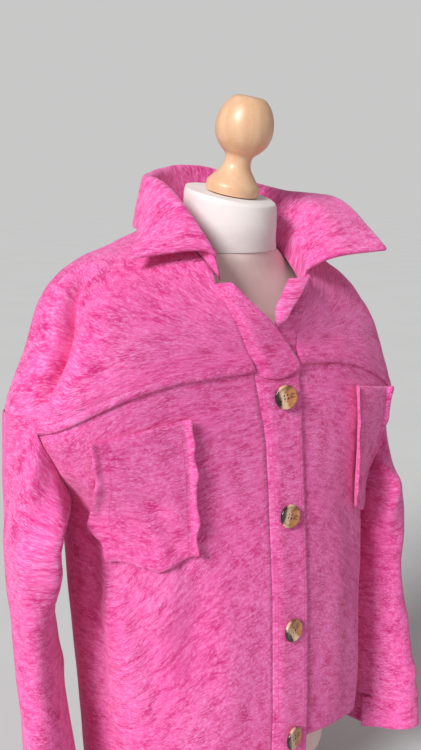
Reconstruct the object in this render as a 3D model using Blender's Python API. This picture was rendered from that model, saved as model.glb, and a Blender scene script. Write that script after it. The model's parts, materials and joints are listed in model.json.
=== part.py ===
"""Shirt jacket in thick brushed wool, standing open-necked on a limbless dress form.

Metres, +Z up. The jacket's front faces -Y and the wearer's right hand is at -X. The origin is the
middle of the stand's underside. Every cloth piece is a thin wall, either on one body surface that
runs round the trunk and over the shoulders, or on a tube that hangs from the armhole.

A place on the body surface is (turn, level). turn is 0 at the centre front, -1 and 1 at the
wearer's right and left side, -2 and 2 at the centre back; level is 0 at the hem, 10 at the neck.
"""
import math

import bmesh
import bpy
import numpy as np
from mathutils import Matrix, Vector

# ---- driving dimensions ---------------------------------------------------------------------
CLOTH = 0.0026            # thickness of the brushed wool
LAP = CLOTH + 0.0006      # how far a piece lying on a panel is moved out
SEAM_TURN = 0.0012        # half the clearance at a side or shoulder seam, in turns
YOKE_CLEAR = 0.0012       # between the left yoke's end and the right placket's free edge
SEAM_X = 0.0007           # half the clearance at a placket seam
YOKE_Z = 0.6445           # the yoke's lower edge over its level run
YOKE_DROP = 1.8           # how that edge falls towards the armhole, per square metre
YOKE_LEVEL_RUN = {-1: 0.120, 1: 0.030}   # how far out from the centre front it stays level
YOKE_LAP = 0.008          # how far the front reaches up under the yoke
YOKE_POINT = 0.006        # how far its piece on the right placket dips in the middle
DROP_RISE = 0.10          # the share of a yoke's rows that lies below the drop seam
DROP_LEAST = (0.3, 0.02)  # the least that they rise at the placket and at the armhole, in levels
DROP_CLEAR = 0.01         # the yoke's clearance above the sleeve, in levels
LAP_FADE = 0.3            # the share of its rows over which a yoke comes down onto the body
PANEL_COLUMNS = 13        # points across a front or a yoke
SETTLE_STEPS = 30         # rounds in which a panel's places settle between its edges
FIND_STEPS = 24           # rounds in which a place is found from its coordinates
FRONT_TURN_METRES = 0.36  # about how far one turn reaches across the front
BUTTON_PITCH = 0.1345     # from one front button to the next
TOP_BUTTON_Z = 0.612
BUTTON_X = -0.005
BUTTON_RADIUS = 0.0138
BUTTON_THICK = 0.0042
BUTTON_RISE = 0.0010      # clearance between a button and its placket
BUTTON_PROFILE = (        # radius and height as shares, from the back's middle to the face's
    (0.0, 0.0), (0.80, 0.0), (1.0, 0.35), (0.97, 0.85), (0.86, 1.0), (0.70, 0.72), (0.0, 0.62),
)
POCKET_RISE = 0.0036      # clearance between a pocket and the front
POLE_RADIUS = 0.016
FLANGE_RADIUS = 0.026     # of the pole's foot
FLANGE_HEIGHT = 0.006
FLANGE_TAPER = 0.012      # over which the foot narrows to the pole
BASE_RADIUS = 0.175
BASE_THICK = 0.018
BASE_BEVEL = 0.004
CONTACT = 0.0003          # between pieces that rest on each other

# The trunk's sections, a row for each level. Heights at the centre front, side and centre back;
# y of the front and the back; x and y of the side; how square the front and the back are.
RIGHT_RINGS = (
    (0.162, 0.150, 0.150, -0.127, 0.118, 0.194, 0.004, 0.62, 0.56),
    (0.250, 0.240, 0.240, -0.126, 0.120, 0.200, 0.004, 0.62, 0.56),
    (0.370, 0.370, 0.370, -0.120, 0.122, 0.208, 0.008, 0.64, 0.58),
    (0.480, 0.497, 0.490, -0.111, 0.122, 0.218, 0.010, 0.70, 0.60),
    (0.538, 0.560, 0.560, -0.105, 0.122, 0.256, 0.006, 0.80, 0.60),
    (0.590, 0.612, 0.620, -0.100, 0.119, 0.282, 0.002, 0.86, 0.58),
    (0.612, 0.680, 0.670, -0.097, 0.112, 0.255, 0.004, 0.88, 0.58),
    (0.638, 0.730, 0.715, -0.095, 0.104, 0.234, 0.006, 0.84, 0.58),
    (0.661, 0.759, 0.752, -0.093, 0.094, 0.194, 0.012, 0.80, 0.60),
    (0.682, 0.774, 0.784, -0.094, 0.082, 0.143, 0.018, 0.82, 0.60),
    (0.700, 0.790, 0.808, -0.096, 0.066, 0.094, 0.018, 0.88, 0.58),
)
LEFT_RINGS = (
    (0.162, 0.140, 0.150, -0.127, 0.118, 0.188, 0.004, 0.60, 0.56),
    (0.250, 0.240, 0.240, -0.126, 0.120, 0.191, 0.004, 0.60, 0.56),
    (0.370, 0.370, 0.370, -0.120, 0.122, 0.196, 0.008, 0.60, 0.58),
    (0.480, 0.470, 0.490, -0.111, 0.122, 0.200, 0.010, 0.60, 0.60),
    (0.538, 0.520, 0.560, -0.105, 0.122, 0.224, 0.010, 0.62, 0.60),
    (0.590, 0.564, 0.620, -0.100, 0.119, 0.250, 0.008, 0.64, 0.60),
    (0.612, 0.632, 0.670, -0.097, 0.112, 0.236, 0.008, 0.64, 0.60),
    (0.638, 0.690, 0.715, -0.095, 0.104, 0.212, 0.010, 0.64, 0.60),
    (0.661, 0.730, 0.752, -0.093, 0.094, 0.174, 0.014, 0.64, 0.60),
    (0.682, 0.760, 0.784, -0.094, 0.082, 0.120, 0.018, 0.68, 0.60),
    (0.700, 0.784, 0.808, -0.096, 0.066, 0.066, 0.018, 0.76, 0.58),
)
NECK_LEVEL = 10.0
LEFT_HEM_LEVEL = 0.42     # the left front's hem is hitched up at the placket
# Where the right drop seam is raised at its front corner: turn, level, their reach, and how far.
SHOULDER_POINT = (-0.72, 5.1, 0.17, 1.5, 0.30)
UNDERARM_LEVEL = 3.0
DROP_SEAM_LEVEL = 5.0
ARMHOLE_FRONT = 0.30      # how far the armhole reaches forwards and back, in turns
ARMHOLE_BACK = 0.26
ARMHOLE_WIDEST_LEVEL = 4.5
ARMHOLE_SQUARE_TOP = 3.5
ARMHOLE_SQUARE_FOOT = 1.6
PLACKET_HEM_Z = {-1: 0.164, 1: 0.196}
PLACKET_YOKE_Z = 0.640
OPENED_Z = 0.680          # where the right front starts to fall open
OPENED_RUN = 0.060        # and the height over which it does
CORNER_GAP = 0.003        # between the left placket and its front
CORNER_Z = 0.692          # where it starts to turn out
CORNER_RUN = 0.012        # and the height over which it does
CORNER_ROLL = 0.009       # how far the left front's turned-out corner stands off
CORNER_LEAN = 0.43        # how far it leans back for each metre it stands above the neck line
OPENED_LIFT = 0.006       # how far the fallen-open fronts stand off the body surface
INNER_CLEAR = 0.004       # the least gap between the sleeve and the trunk lower down
SLEEVE_EASE = 0.10        # the share of the sleeve over which its folds and that gap come in
SIDE_MISS = 0.004         # a place found on the trunk further off than this isn't beside it
SLEEVE_CLEAR = 0.0014     # the sleeve's top edge below the armhole's edge
SLEEVE_INSET = 0.022      # and inside it, as a share of the armhole
ARMHOLE_CROWDING = 0.3    # how much the sleeve's points crowd at the armhole's top and foot

# By height, the free edge and the seam of each placket, measured from the centre front, and on
# the left the roll line between them. The two fronts part above the neck's V and fall open.
RIGHT_PLACKET = (
    (0.160, 0.021, -0.030),
    (0.560, 0.021, -0.030),
    (0.645, 0.019, -0.042),
    (0.672, 0.000, -0.052),
    (0.697, -0.024, -0.064),
    (0.720, -0.050, -0.076),
    (0.738, -0.070, -0.086),
)
LEFT_PLACKET = (
    (0.160, -0.022, -0.010, 0.014),
    (0.684, -0.015, -0.008, 0.020),
    (0.694, -0.006, -0.006, 0.022),
    (0.704, -0.012, -0.017, 0.028),
    (0.714, -0.010, -0.019, 0.035),
    (0.722, 0.012, -0.001, 0.041),
    (0.730, 0.034, 0.009, 0.046),
    (0.738, 0.043, 0.018, 0.050),
)

# The largest folds, as soft troughs (negative) or ridges: turn and level of both ends, then the
# width and the height in metres.
TURN_METRES = 0.26
LEVEL_METRES = 0.060
BODY_FOLDS = (
    (-0.80, 8.8, -0.80, 4.9, 0.015, -0.018),
    (-0.94, 8.0, -0.90, 5.2, 0.010, -0.005),
    (-0.66, 4.5, -0.52, 2.4, 0.012, -0.004),
    (-0.78, 2.9, -0.60, 1.2, 0.016, 0.006),
    (-0.68, 2.7, -0.52, 1.0, 0.012, -0.005),
    (-0.92, 2.0, -0.80, 0.0, 0.016, -0.006),
    (0.80, 8.2, 0.76, 4.8, 0.012, -0.014),
    (0.80, 2.9, 0.66, 0.8, 0.014, -0.006),
    (0.46, 1.6, 0.50, 0.0, 0.018, 0.005),
    (-1.25, 7.2, -1.22, 4.2, 0.014, -0.010),
    (1.25, 7.2, 1.22, 4.2, 0.014, -0.010),
    (-1.55, 3.4, -1.40, 0.6, 0.020, -0.007),
    (1.60, 3.0, 1.44, 0.2, 0.020, -0.007),
    (-1.86, 2.2, -1.80, 0.0, 0.020, 0.005),
    (1.20, 2.4, 1.16, 0.0, 0.016, 0.005),
)

# The sleeves' sections from the armhole to the wrist: the middle, the half-width outwards and
# fore-and-aft, and by how many degrees the long way is turned.
RIGHT_SLEEVE = (
    (-0.264, 0.010, 0.558, 0.026, 0.052, 18.0),
    (-0.264, 0.012, 0.490, 0.020, 0.056, 28.0),
    (-0.262, 0.012, 0.420, 0.019, 0.058, 31.0),
    (-0.257, 0.010, 0.340, 0.021, 0.060, 30.0),
    (-0.252, 0.007, 0.260, 0.024, 0.060, 28.0),
    (-0.248, 0.004, 0.190, 0.028, 0.060, 26.0),
    (-0.249, 0.000, 0.140, 0.029, 0.058, 24.0),
)
LEFT_SLEEVE = (
    (0.232, 0.010, 0.512, 0.028, 0.054, -8.0),
    (0.232, 0.006, 0.455, 0.025, 0.057, -10.0),
    (0.229, -0.004, 0.390, 0.025, 0.060, -12.0),
    (0.226, -0.014, 0.320, 0.025, 0.058, -14.0),
    (0.226, -0.026, 0.250, 0.026, 0.057, -18.0),
    (0.229, -0.040, 0.195, 0.028, 0.055, -22.0),
    (0.234, -0.050, 0.150, 0.031, 0.054, -24.0),
)
ARMHOLE_FADE = 0.20       # the share of the sleeve over which the armhole's shape fades out
CUFF_HEIGHT = 0.042
CUFF_CLEAR = 0.0006
CUFF_FLARE = 1.08
CUFF_GAP = 0.02           # between its ends, in turns
CUFF_TAB = 0.024          # how far the tab stands out
CUFF_TAB_LIFT = 0.006     # and how far its end is off the cuff
CUFF_PROUD = 0.0010
CUFF_OPENING = 0.46       # where the cuff opens, in turns round the sleeve from its outside
SLEEVE_TURN_METRES = 0.30
SLEEVE_METRES = 0.43
SLEEVE_FOLDS = (          # as the body's, by the angle round it in turns and the share down it
    (0.35, 0.03, 0.34, 0.44, 0.024, -0.020),
    (0.20, 0.05, 0.21, 0.60, 0.012, 0.004),
    (0.10, 0.45, 0.24, 0.78, 0.014, -0.004),
    (0.70, 0.30, 0.88, 0.62, 0.014, -0.005),
    (0.04, 0.62, 0.16, 0.98, 0.014, 0.004),
)

# The collar, a row for each place round the neck from the right front (-1.5) past the centre
# back (0) to the left front (1.5): x, y and z of the roll and of the free edge, measured from the
# neck seam.
COLLAR = (
    (-1.50, -0.012, 0.010, 0.025, -0.085, 0.036, 0.018),
    (-1.25, -0.011, 0.006, 0.038, -0.050, 0.021, 0.003),
    (-1.00, -0.005, 0.003, 0.049, -0.020, 0.007, 0.000),
    (-0.50, 0.000, 0.008, 0.046, -0.003, 0.023, 0.001),
    (0.00, -0.001, 0.013, 0.044, 0.004, 0.036, -0.002),
    (0.50, 0.014, 0.008, 0.041, 0.046, 0.026, 0.016),
    (1.00, 0.030, -0.003, 0.034, 0.082, 0.003, 0.034),
    (1.35, 0.039, -0.011, 0.022, 0.094, -0.003, 0.027),
    (1.50, 0.028, -0.014, 0.014, 0.095, -0.028, 0.020),
)
COLLAR_THICK = 0.0050
COLLAR_CLEAR = 0.0045     # the collar's lower edge above the neck seam

# Patch pockets, seen from the front: how far the inner and outer corners are from the centre
# front at the top and at the bottom, the heights of those four corners, and the bottom's point.
RIGHT_POCKET = (0.132, 0.238, 0.122, 0.196, 0.606, 0.596, 0.458, 0.456, 0.016)
LEFT_POCKET = (0.112, 0.190, 0.116, 0.182, 0.606, 0.590, 0.458, 0.452, 0.016)
POCKET_MARGIN = 0.07      # the raw side margins that stand out, as a share of the width
POCKET_MARGIN_RISE = 0.0050
POCKET_SHARES = (0, 0.04, 0.09, 0.3, 0.5, 0.7, 0.91, 0.96, 1)

# The dress form's sections: height, half-width, half-depth and the place fore-and-aft.
FORM_TRUNK = (
    (0.120, 0.150, 0.098, 0.004),
    (0.200, 0.158, 0.102, 0.004),
    (0.300, 0.138, 0.092, 0.004),
    (0.380, 0.124, 0.084, 0.006),
    (0.470, 0.140, 0.088, 0.004),
    (0.560, 0.156, 0.084, 0.004),
    (0.640, 0.160, 0.074, 0.008),
    (0.700, 0.138, 0.060, 0.012),
    (0.740, 0.098, 0.052, 0.012),
    (0.765, 0.062, 0.050, 0.008),
)
FORM_NECK = (
    (0.7655, 0.058, 0.051, 0.007),
    (0.780, 0.055, 0.052, 0.005),
    (0.800, 0.0535, 0.053, 0.002),
    (0.822, 0.053, 0.052, 0.000),
    (0.829, 0.050, 0.049, 0.000),
)
NECK_TOP = Vector((-0.006, 0.0, 0.8295))
KNOB_FOOT = Vector((-0.004, -0.0015, 0.8297))
NECK_LEAN_FORWARD = math.radians(12.0)
NECK_LEAN_LEFT = math.radians(4.0)
KNOB_PROFILE = (          # radius and height above the neck cap, from the foot to the top
    (0.0295, 0.0004), (0.0305, 0.007), (0.0290, 0.012), (0.0225, 0.020), (0.0165, 0.029),
    (0.0150, 0.036), (0.0165, 0.043), (0.0230, 0.049), (0.0295, 0.058), (0.0325, 0.070),
    (0.0312, 0.083), (0.0265, 0.095), (0.0200, 0.103), (0.0150, 0.1060),
)

FINISHES = {              # colour, roughness and metallic value of each material
    "pink_wool": ((0.78, 0.10, 0.38, 1.0), 0.95, 0.0),
    "horn": ((0.30, 0.14, 0.06, 1.0), 0.30, 0.0),
    "form_cloth": ((0.86, 0.80, 0.74, 1.0), 0.85, 0.0),
    "neck_cloth": ((0.90, 0.87, 0.85, 1.0), 0.85, 0.0),
    "beech": ((0.72, 0.48, 0.28, 1.0), 0.50, 0.0),
    "stand_paint": ((0.10, 0.10, 0.11, 1.0), 0.45, 0.6),
}


# ---- sections and surfaces ------------------------------------------------------------------
def along(rows, place):
    """Every column of a table of rows at fractional row numbers, on a smooth curve."""
    rows = np.asarray(rows, float)
    place = np.clip(np.asarray(place, float), 0.0, len(rows) - 1.0)
    low = np.minimum(place.astype(int), len(rows) - 2)
    t = (place - low)[..., None]
    padded = np.vstack((2 * rows[0] - rows[1], rows, 2 * rows[-1] - rows[-2]))
    before, start, end, after = (padded[low + k] for k in range(4))
    pull_in, pull_out = (end - before) / 2, (after - start) / 2
    return ((2 * t**3 - 3 * t**2 + 1) * start + (t**3 - 2 * t**2 + t) * pull_in
            + (3 * t**2 - 2 * t**3) * end + (t**3 - t**2) * pull_out)


def by_key(rows, key):
    """A table's other columns, read smoothly at values of its first column."""
    rows = np.asarray(rows, float)
    place = np.interp(key, rows[:, 0], np.arange(len(rows)))
    return np.moveaxis(along(rows, place)[..., 1:], -1, 0)


def trunk(turn, level):
    """The bare body surface, before its folds."""
    turn, level = np.broadcast_arrays(np.asarray(turn, float), np.asarray(level, float))
    bump_turn, bump_level, wide_turn, wide_level, raised = SHOULDER_POINT
    level = level + raised * np.exp(-((turn - bump_turn) / wide_turn)**2
                                    - ((level - bump_level) / wide_level)**2)
    right, left = along(RIGHT_RINGS, level), along(LEFT_RINGS, level)
    row = np.moveaxis(np.where((turn < 0)[..., None], right, left), -1, 0)
    z_front, z_side, z_back, y_front, y_back, x_side, y_side, square_f, square_b = row
    ahead = np.abs(turn) <= 1.0
    s = np.where(ahead, np.abs(turn), 2.0 - np.abs(turn))
    y_mid, z_mid = np.where(ahead, y_front, y_back), np.where(ahead, z_front, z_back)
    square = np.where(ahead, square_f, square_b)
    first, second = 3 * (1 - s)**2 * s, 3 * (1 - s) * s**2
    x = x_side * (first * square + second + s**3)
    y = (y_mid * ((1 - s)**3 + first) + (y_side + (y_mid - y_side) * square) * second
         + y_side * s**3)
    z = z_mid + (z_side - z_mid) * s * s * (3 - 2 * s)
    return np.stack((np.sign(turn) * x, y, z), -1)


def unit(vectors):
    """Vectors at length 1."""
    return vectors / np.maximum(np.linalg.norm(vectors, axis=-1, keepdims=True), 1e-12)


def facing(surface, u, v, step=1e-3):
    """The outward unit normal of a surface of two measures."""
    across = surface(u + step, v) - surface(u - step, v)
    upward = surface(u, v + 4 * step) - surface(u, v - 4 * step)
    return unit(np.cross(across, upward))


def folds(table, u, v, scale_u, scale_v):
    """The height of all folds in a table at places (u, v), one unit of which is so many metres."""
    height = np.zeros(np.broadcast(u, v).shape)
    for u_a, v_a, u_b, v_b, width, rise in table:
        run_u, run_v = (u_b - u_a) * scale_u, (v_b - v_a) * scale_v
        off_u, off_v = (u - u_a) * scale_u, (v - v_a) * scale_v
        share = (off_u * run_u + off_v * run_v) / (run_u**2 + run_v**2)
        near = np.clip(share, 0.0, 1.0)
        gap2 = (off_u - near * run_u)**2 + (off_v - near * run_v)**2
        swell = 0.25 + 0.75 * np.sin(math.pi * near)
        height = height + rise * swell * np.exp(-gap2 / (2 * width**2))
    return height


def cloth(turn, level, lift):
    """A point of the jacket's body, so far outside the body surface."""
    turn, level = np.broadcast_arrays(np.asarray(turn, float), np.asarray(level, float))
    inside = np.clip(turn, -1.999, 1.999)
    height = folds(BODY_FOLDS, inside, level, TURN_METRES, LEVEL_METRES)
    return trunk(turn, level) + facing(trunk, inside, level) * (lift + height)[..., None]


def find(across, z, side=0):
    """The (turn, level) of the place that has this height and this x, or on a side this y."""
    across, z = np.broadcast_arrays(np.asarray(across, float), np.asarray(z, float))
    axis, low, high = (0, -0.98, 0.98) if side == 0 else (1, side - 0.6, side + 0.6)
    turn = across / FRONT_TURN_METRES if side == 0 else np.full(z.shape, float(side))
    level = np.full(z.shape, 5.0)
    step = 1e-3
    for _ in range(FIND_STEPS):
        point = trunk(turn, level)
        by_turn = (trunk(turn + step, level) - point) / step
        by_level = (trunk(turn, level + step) - point) / step
        miss, miss_z = across - point[..., axis], z - point[..., 2]
        area = by_turn[..., axis] * by_level[..., 2] - by_level[..., axis] * by_turn[..., 2]
        area = np.where(np.abs(area) < 1e-6, 1e-6, area)
        move_turn = (miss * by_level[..., 2] - by_level[..., axis] * miss_z) / area
        move_level = (by_turn[..., axis] * miss_z - miss * by_turn[..., 2]) / area
        turn = np.clip(turn + np.clip(move_turn, -0.15, 0.15), low, high)
        level = np.clip(level + np.clip(move_level, -1.0, 1.0), 0.0, NECK_LEVEL)
    return turn, level


def armhole_width(level, reach):
    """How far the armhole reaches from the side at a level, in turns."""
    upper = level > ARMHOLE_WIDEST_LEVEL
    end = np.where(upper, DROP_SEAM_LEVEL, UNDERARM_LEVEL)
    off = np.clip((level - ARMHOLE_WIDEST_LEVEL) / (end - ARMHOLE_WIDEST_LEVEL), 0.0, 1.0)
    square = np.where(upper, ARMHOLE_SQUARE_TOP, ARMHOLE_SQUARE_FOOT)
    return reach * (1 - off**square)**(1 / square)


def armhole(side, angle):
    """The sleeve's top edge, just inside the armhole, at an angle in turns: 0 at the top."""
    middle = (UNDERARM_LEVEL + DROP_SEAM_LEVEL) / 2
    half = (DROP_SEAM_LEVEL - UNDERARM_LEVEL) / 2
    level = middle + half * np.cos(2 * math.pi * angle)
    ahead = angle <= 0.5
    width = np.where(ahead, -armhole_width(level, ARMHOLE_FRONT),
                     armhole_width(level, ARMHOLE_BACK))
    inset = 1 - SLEEVE_INSET
    return cloth(side * (1 + inset * width), middle + inset * (level - middle), 0.0)


def sleeve_point(side, angle, share):
    """A point of a sleeve: the angle round it in turns, and the share of the way down."""
    table = RIGHT_SLEEVE if side < 0 else LEFT_SLEEVE
    angle, share = np.broadcast_arrays(np.asarray(angle, float), np.asarray(share, float))
    x, y, z, out, fore, turned = np.moveaxis(along(table, share * (len(table) - 1)), -1, 0)
    middle = np.stack((x, y, z), -1)
    round_it = 2 * math.pi * angle
    outward, forward = out * np.cos(round_it), fore * np.sin(round_it)
    lean = np.radians(turned)
    ring = middle + np.stack((side * outward * np.cos(lean) - forward * np.sin(lean),
                              -forward * np.cos(lean) - side * outward * np.sin(lean),
                              np.zeros_like(x)), -1)
    top = np.asarray(table[0][:3])
    hung = armhole(side, np.mod(angle, 1.0)) + (middle - top)
    blend = np.clip(share / ARMHOLE_FADE, 0.0, 1.0)
    blend = (blend * blend * (3 - 2 * blend))[..., None]
    return hung * (1 - blend) + ring * blend


def sleeve(side, angle, share, lift):
    """The sleeve's wall with its folds, moved out by lift."""
    def bare(a, s):
        return sleeve_point(side, a, np.clip(s, 0.0, 1.0))

    normal = -side * facing(bare, angle, share)
    ease = np.clip(share / SLEEVE_EASE, 0.0, 1.0)
    height = ease * folds(SLEEVE_FOLDS, np.mod(angle, 1.0), share, SLEEVE_TURN_METRES,
                          SLEEVE_METRES)
    point = bare(angle, share) + normal * (lift + height)[..., None]
    below = point - (0.0, 0.0, SLEEVE_CLEAR)
    turn, level = find(below[..., 1], below[..., 2], side)
    beside = cloth(turn, level, 0.0)
    gap = SLEEVE_CLEAR + (INNER_CLEAR - SLEEVE_CLEAR) * ease
    reach = np.where(np.abs(beside[..., 1] - below[..., 1]) < SIDE_MISS,
                     side * beside[..., 0] + gap, -1.0)
    below[..., 0] = side * np.maximum(side * below[..., 0], reach)
    return below


def collar_point(place, across, lift):
    """The collar's wall: place round the neck, 0 to 1 from the neck seam to the free edge."""
    def bare(p, q):
        turn = np.where(p < 0, -(2 - np.abs(p)), 2 - np.abs(p))
        seam = trunk(turn, np.full(np.shape(p), NECK_LEVEL)) + (0.0, 0.0, COLLAR_CLEAR)
        roll_x, roll_y, roll_z, edge_x, edge_y, edge_z = by_key(COLLAR, p)
        roll = seam + np.stack((roll_x, roll_y, roll_z), -1)
        edge = seam + np.stack((edge_x, edge_y, edge_z), -1)
        knee = (8 * roll - seam - edge) / 6
        q = q[..., None]
        return (seam * (1 - q)**3 + knee * 3 * (q * (1 - q)**2 + q * q * (1 - q)) + edge * q**3)

    place, across = np.broadcast_arrays(np.asarray(place, float), np.asarray(across, float))
    step = 1e-3
    inner = np.clip(across, step, 1 - step)
    normal = unit(np.cross(bare(place + step, inner) - bare(place - step, inner),
                           bare(place, inner + step) - bare(place, inner - step)))
    return bare(place, across) + normal * np.asarray(lift)[..., None]


# ---- meshes ---------------------------------------------------------------------------------
def make_object(name, verts, faces, finish):
    """One named object with its own material, faces pointing outwards."""
    mesh = bpy.data.meshes.new(name)
    mesh.from_pydata([tuple(p) for p in verts], [], faces)
    shape = bmesh.new()
    shape.from_mesh(mesh)
    bmesh.ops.recalc_face_normals(shape, faces=shape.faces)
    if shape.calc_volume(signed=True) < 0:
        bmesh.ops.reverse_faces(shape, faces=shape.faces)
    shape.to_mesh(mesh)
    shape.free()
    mesh.shade_smooth()
    mesh.set_sharp_from_angle(angle=math.radians(40))
    colour, roughness, metallic = FINISHES[finish]
    material = bpy.data.materials.new(f"{name}_{finish}")
    material.use_nodes = True
    shader = material.node_tree.nodes["Principled BSDF"]
    shader.inputs["Base Color"].default_value = colour
    shader.inputs["Roughness"].default_value = roughness
    shader.inputs["Metallic"].default_value = metallic
    mesh.materials.append(material)
    bpy.context.scene.collection.objects.link(bpy.data.objects.new(name, mesh))


def wall(name, outside, inside, tube=False):
    """A closed cloth wall between two grids of points, [row][column], open or joined round."""
    rows, columns = outside.shape[:2]
    count = rows * columns
    verts = np.concatenate((outside.reshape(-1, 3), inside.reshape(-1, 3)))
    last = columns if tube else columns - 1
    faces = []
    for i in range(rows - 1):
        for j in range(last):
            a, b = i * columns + j, i * columns + (j + 1) % columns
            c, d = b + columns, a + columns
            faces.append((a, b, c, d))
            faces.append((a + count, d + count, c + count, b + count))
    for i, flip in ((0, True), (rows - 1, False)):
        for j in range(last):
            a, b = i * columns + j, i * columns + (j + 1) % columns
            face = (a, b, b + count, a + count)
            faces.append(face if flip else face[::-1])
    if not tube:
        for j, flip in ((0, False), (columns - 1, True)):
            for i in range(rows - 1):
                a, b = i * columns + j, (i + 1) * columns + j
                face = (a, b, b + count, a + count)
                faces.append(face if flip else face[::-1])
    make_object(name, verts, faces, "pink_wool")


def sheet(name, turn, level, lift=0.0):
    """A cloth wall over a grid of places on the body."""
    lift = np.broadcast_to(np.asarray(lift, float), turn.shape)
    wall(name, cloth(turn, level, lift), cloth(turn, level, lift - CLOTH))


# ---- the jacket's pieces --------------------------------------------------------------------
def placket_edges(side, z):
    """The x of a placket's lines at heights z, from its free edge to its seam."""
    table = RIGHT_PLACKET if side < 0 else LEFT_PLACKET
    return by_key(table, np.clip(z, table[0][0], table[-1][0]))


def yoke_level(turn, rise):
    """The level at which the yoke's lower edge, moved up by rise, crosses a turn."""
    level_run = np.where(turn < 0, YOKE_LEVEL_RUN[-1], YOKE_LEVEL_RUN[1])
    low, high = np.full(turn.shape, UNDERARM_LEVEL), np.full(turn.shape, NECK_LEVEL)
    for _ in range(SETTLE_STEPS):
        middle = (low + high) / 2
        point = trunk(turn, middle)
        out = np.maximum(np.abs(point[..., 0]) - level_run, 0.0)
        under = point[..., 2] < YOKE_Z + rise - YOKE_DROP * out * out
        low, high = np.where(under, middle, low), np.where(under, high, middle)
    return low


def front_grid(side, rows, hem, to_neck):
    """The places of a front piece from its placket seam to the side seam or armhole.

    A yoke's rows run from the yoke line (-1) and the front's top edge under it (0), past the drop
    seam (DROP_RISE), to the neck seam (1). A front's run from the hem (0) to the yoke line (1) and
    its top edge (2). At the placket the hem is at level hem, and it falls to 0 at the side.
    """
    share, rise = np.meshgrid(np.linspace(0, 1, PANEL_COLUMNS), rows)
    turn, level = side * (0.1 + 0.85 * share), 1.0 + 7.0 * np.clip(rise, 0, 1)
    for _ in range(SETTLE_STEPS):
        line, top = yoke_level(turn, 0.0), yoke_level(turn, YOKE_LAP)
        if to_neck:
            least = DROP_LEAST[0] * (1 - share) + DROP_LEAST[1] * share
            drop = np.maximum(top + least, DROP_SEAM_LEVEL + DROP_CLEAR)
            level = np.where(rise < DROP_RISE, top + rise / DROP_RISE * (drop - top),
                             drop + (rise - DROP_RISE) / (1 - DROP_RISE) * (NECK_LEVEL - drop))
            level = np.where(rise < 0, line, level)
        else:
            foot = hem * (1 - share)
            level = np.where(rise > 1, top, foot + rise * (line - foot))
        height = trunk(turn, level)[..., 2]
        seam_x = placket_edges(side, height)[-1]
        if to_neck and side > 0:
            seam_x = np.maximum(seam_x, placket_edges(-1, height)[0] + YOKE_CLEAR)
        seam_turn, _ = find(seam_x + side * SEAM_X, height)
        outer = side * (1 - SEAM_TURN - armhole_width(level[:, -1:], ARMHOLE_FRONT))
        turn = (turn + seam_turn + share * (outer - seam_turn)) / 2
    return turn, level


def add_fronts():
    """Both fronts below the yokes, and the yokes that lap over them."""
    for side, word, hem in ((-1, "right", 0.0), (1, "left", LEFT_HEM_LEVEL)):
        turn, level = front_grid(side, np.append(np.linspace(0, 1, 21), 2), hem, False)
        sheet(f"front_{word}", turn, level)
        rise = np.concatenate(((-1, 0, 0.5 * DROP_RISE), np.linspace(DROP_RISE, 1, 12)))
        turn, level = front_grid(side, rise, 0.0, True)
        fade = np.clip(1 - rise / LAP_FADE, 0.0, 1.0)[:, None]
        sheet(f"yoke_{word}", turn, level, LAP * fade * fade * (3 - 2 * fade))


def add_back():
    """The back, from side seam to side seam and up to both shoulder seams."""
    levels = np.concatenate((np.linspace(0, UNDERARM_LEVEL, 8),
                             (3.06, 3.2, 3.5, 4.0, ARMHOLE_WIDEST_LEVEL, 4.85, 4.96, 4.992),
                             np.linspace(DROP_SEAM_LEVEL, NECK_LEVEL, 12)))
    share, level = np.meshgrid(np.linspace(-1, 1, 23), levels)
    reach = 1 - SEAM_TURN - armhole_width(level, ARMHOLE_BACK)
    from_back = share * reach
    turn = np.where(from_back < 0, -2 - from_back, 2 - from_back)
    turn = np.where(np.abs(from_back) < 1e-9, 2.0, turn)
    sheet("back", turn, level)


def add_plackets():
    """The two plackets, the right one over the left, and the yoke's piece on the right one."""
    top = np.linspace(PLACKET_YOKE_Z, RIGHT_PLACKET[-1][0], 8)
    below = np.linspace(PLACKET_HEM_Z[-1], PLACKET_YOKE_Z, 14)[:-1]
    right_placket("placket_right", np.append(below, top), LAP, 0.0)
    right_placket("placket_yoke", top, 2 * LAP, YOKE_POINT)
    left_placket()


def front_point(x, z, lift):
    """A point on the front at x and height z, or straight up from the neck line above it."""
    turn, level = find(x, z)
    bare = trunk(turn, level)
    above = np.maximum(z - bare[..., 2], 0.0)
    aside = np.where(above > 0, x - bare[..., 0], 0.0)
    return cloth(turn, level, lift) + np.stack((aside, CORNER_LEAN * above, above), -1)


def right_placket(name, z, lift, dip):
    """A band along the right front's edge at heights z, moved out, its top fallen open.

    The lowest row dips in the middle by dip.
    """
    free, seam = placket_edges(-1, z)
    share = np.linspace(0, 1, 5)
    x = free[:, None] + share * (seam + SEAM_X - free)[:, None]
    z = np.repeat(z[:, None], len(share), 1)
    z[0] -= dip * np.sin(math.pi * share)
    lift = lift + OPENED_LIFT * np.clip((z - OPENED_Z) / OPENED_RUN, 0, 1) * (1 - share)
    wall(name, front_point(x, z, lift), front_point(x, z, lift - CLOTH))


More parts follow.
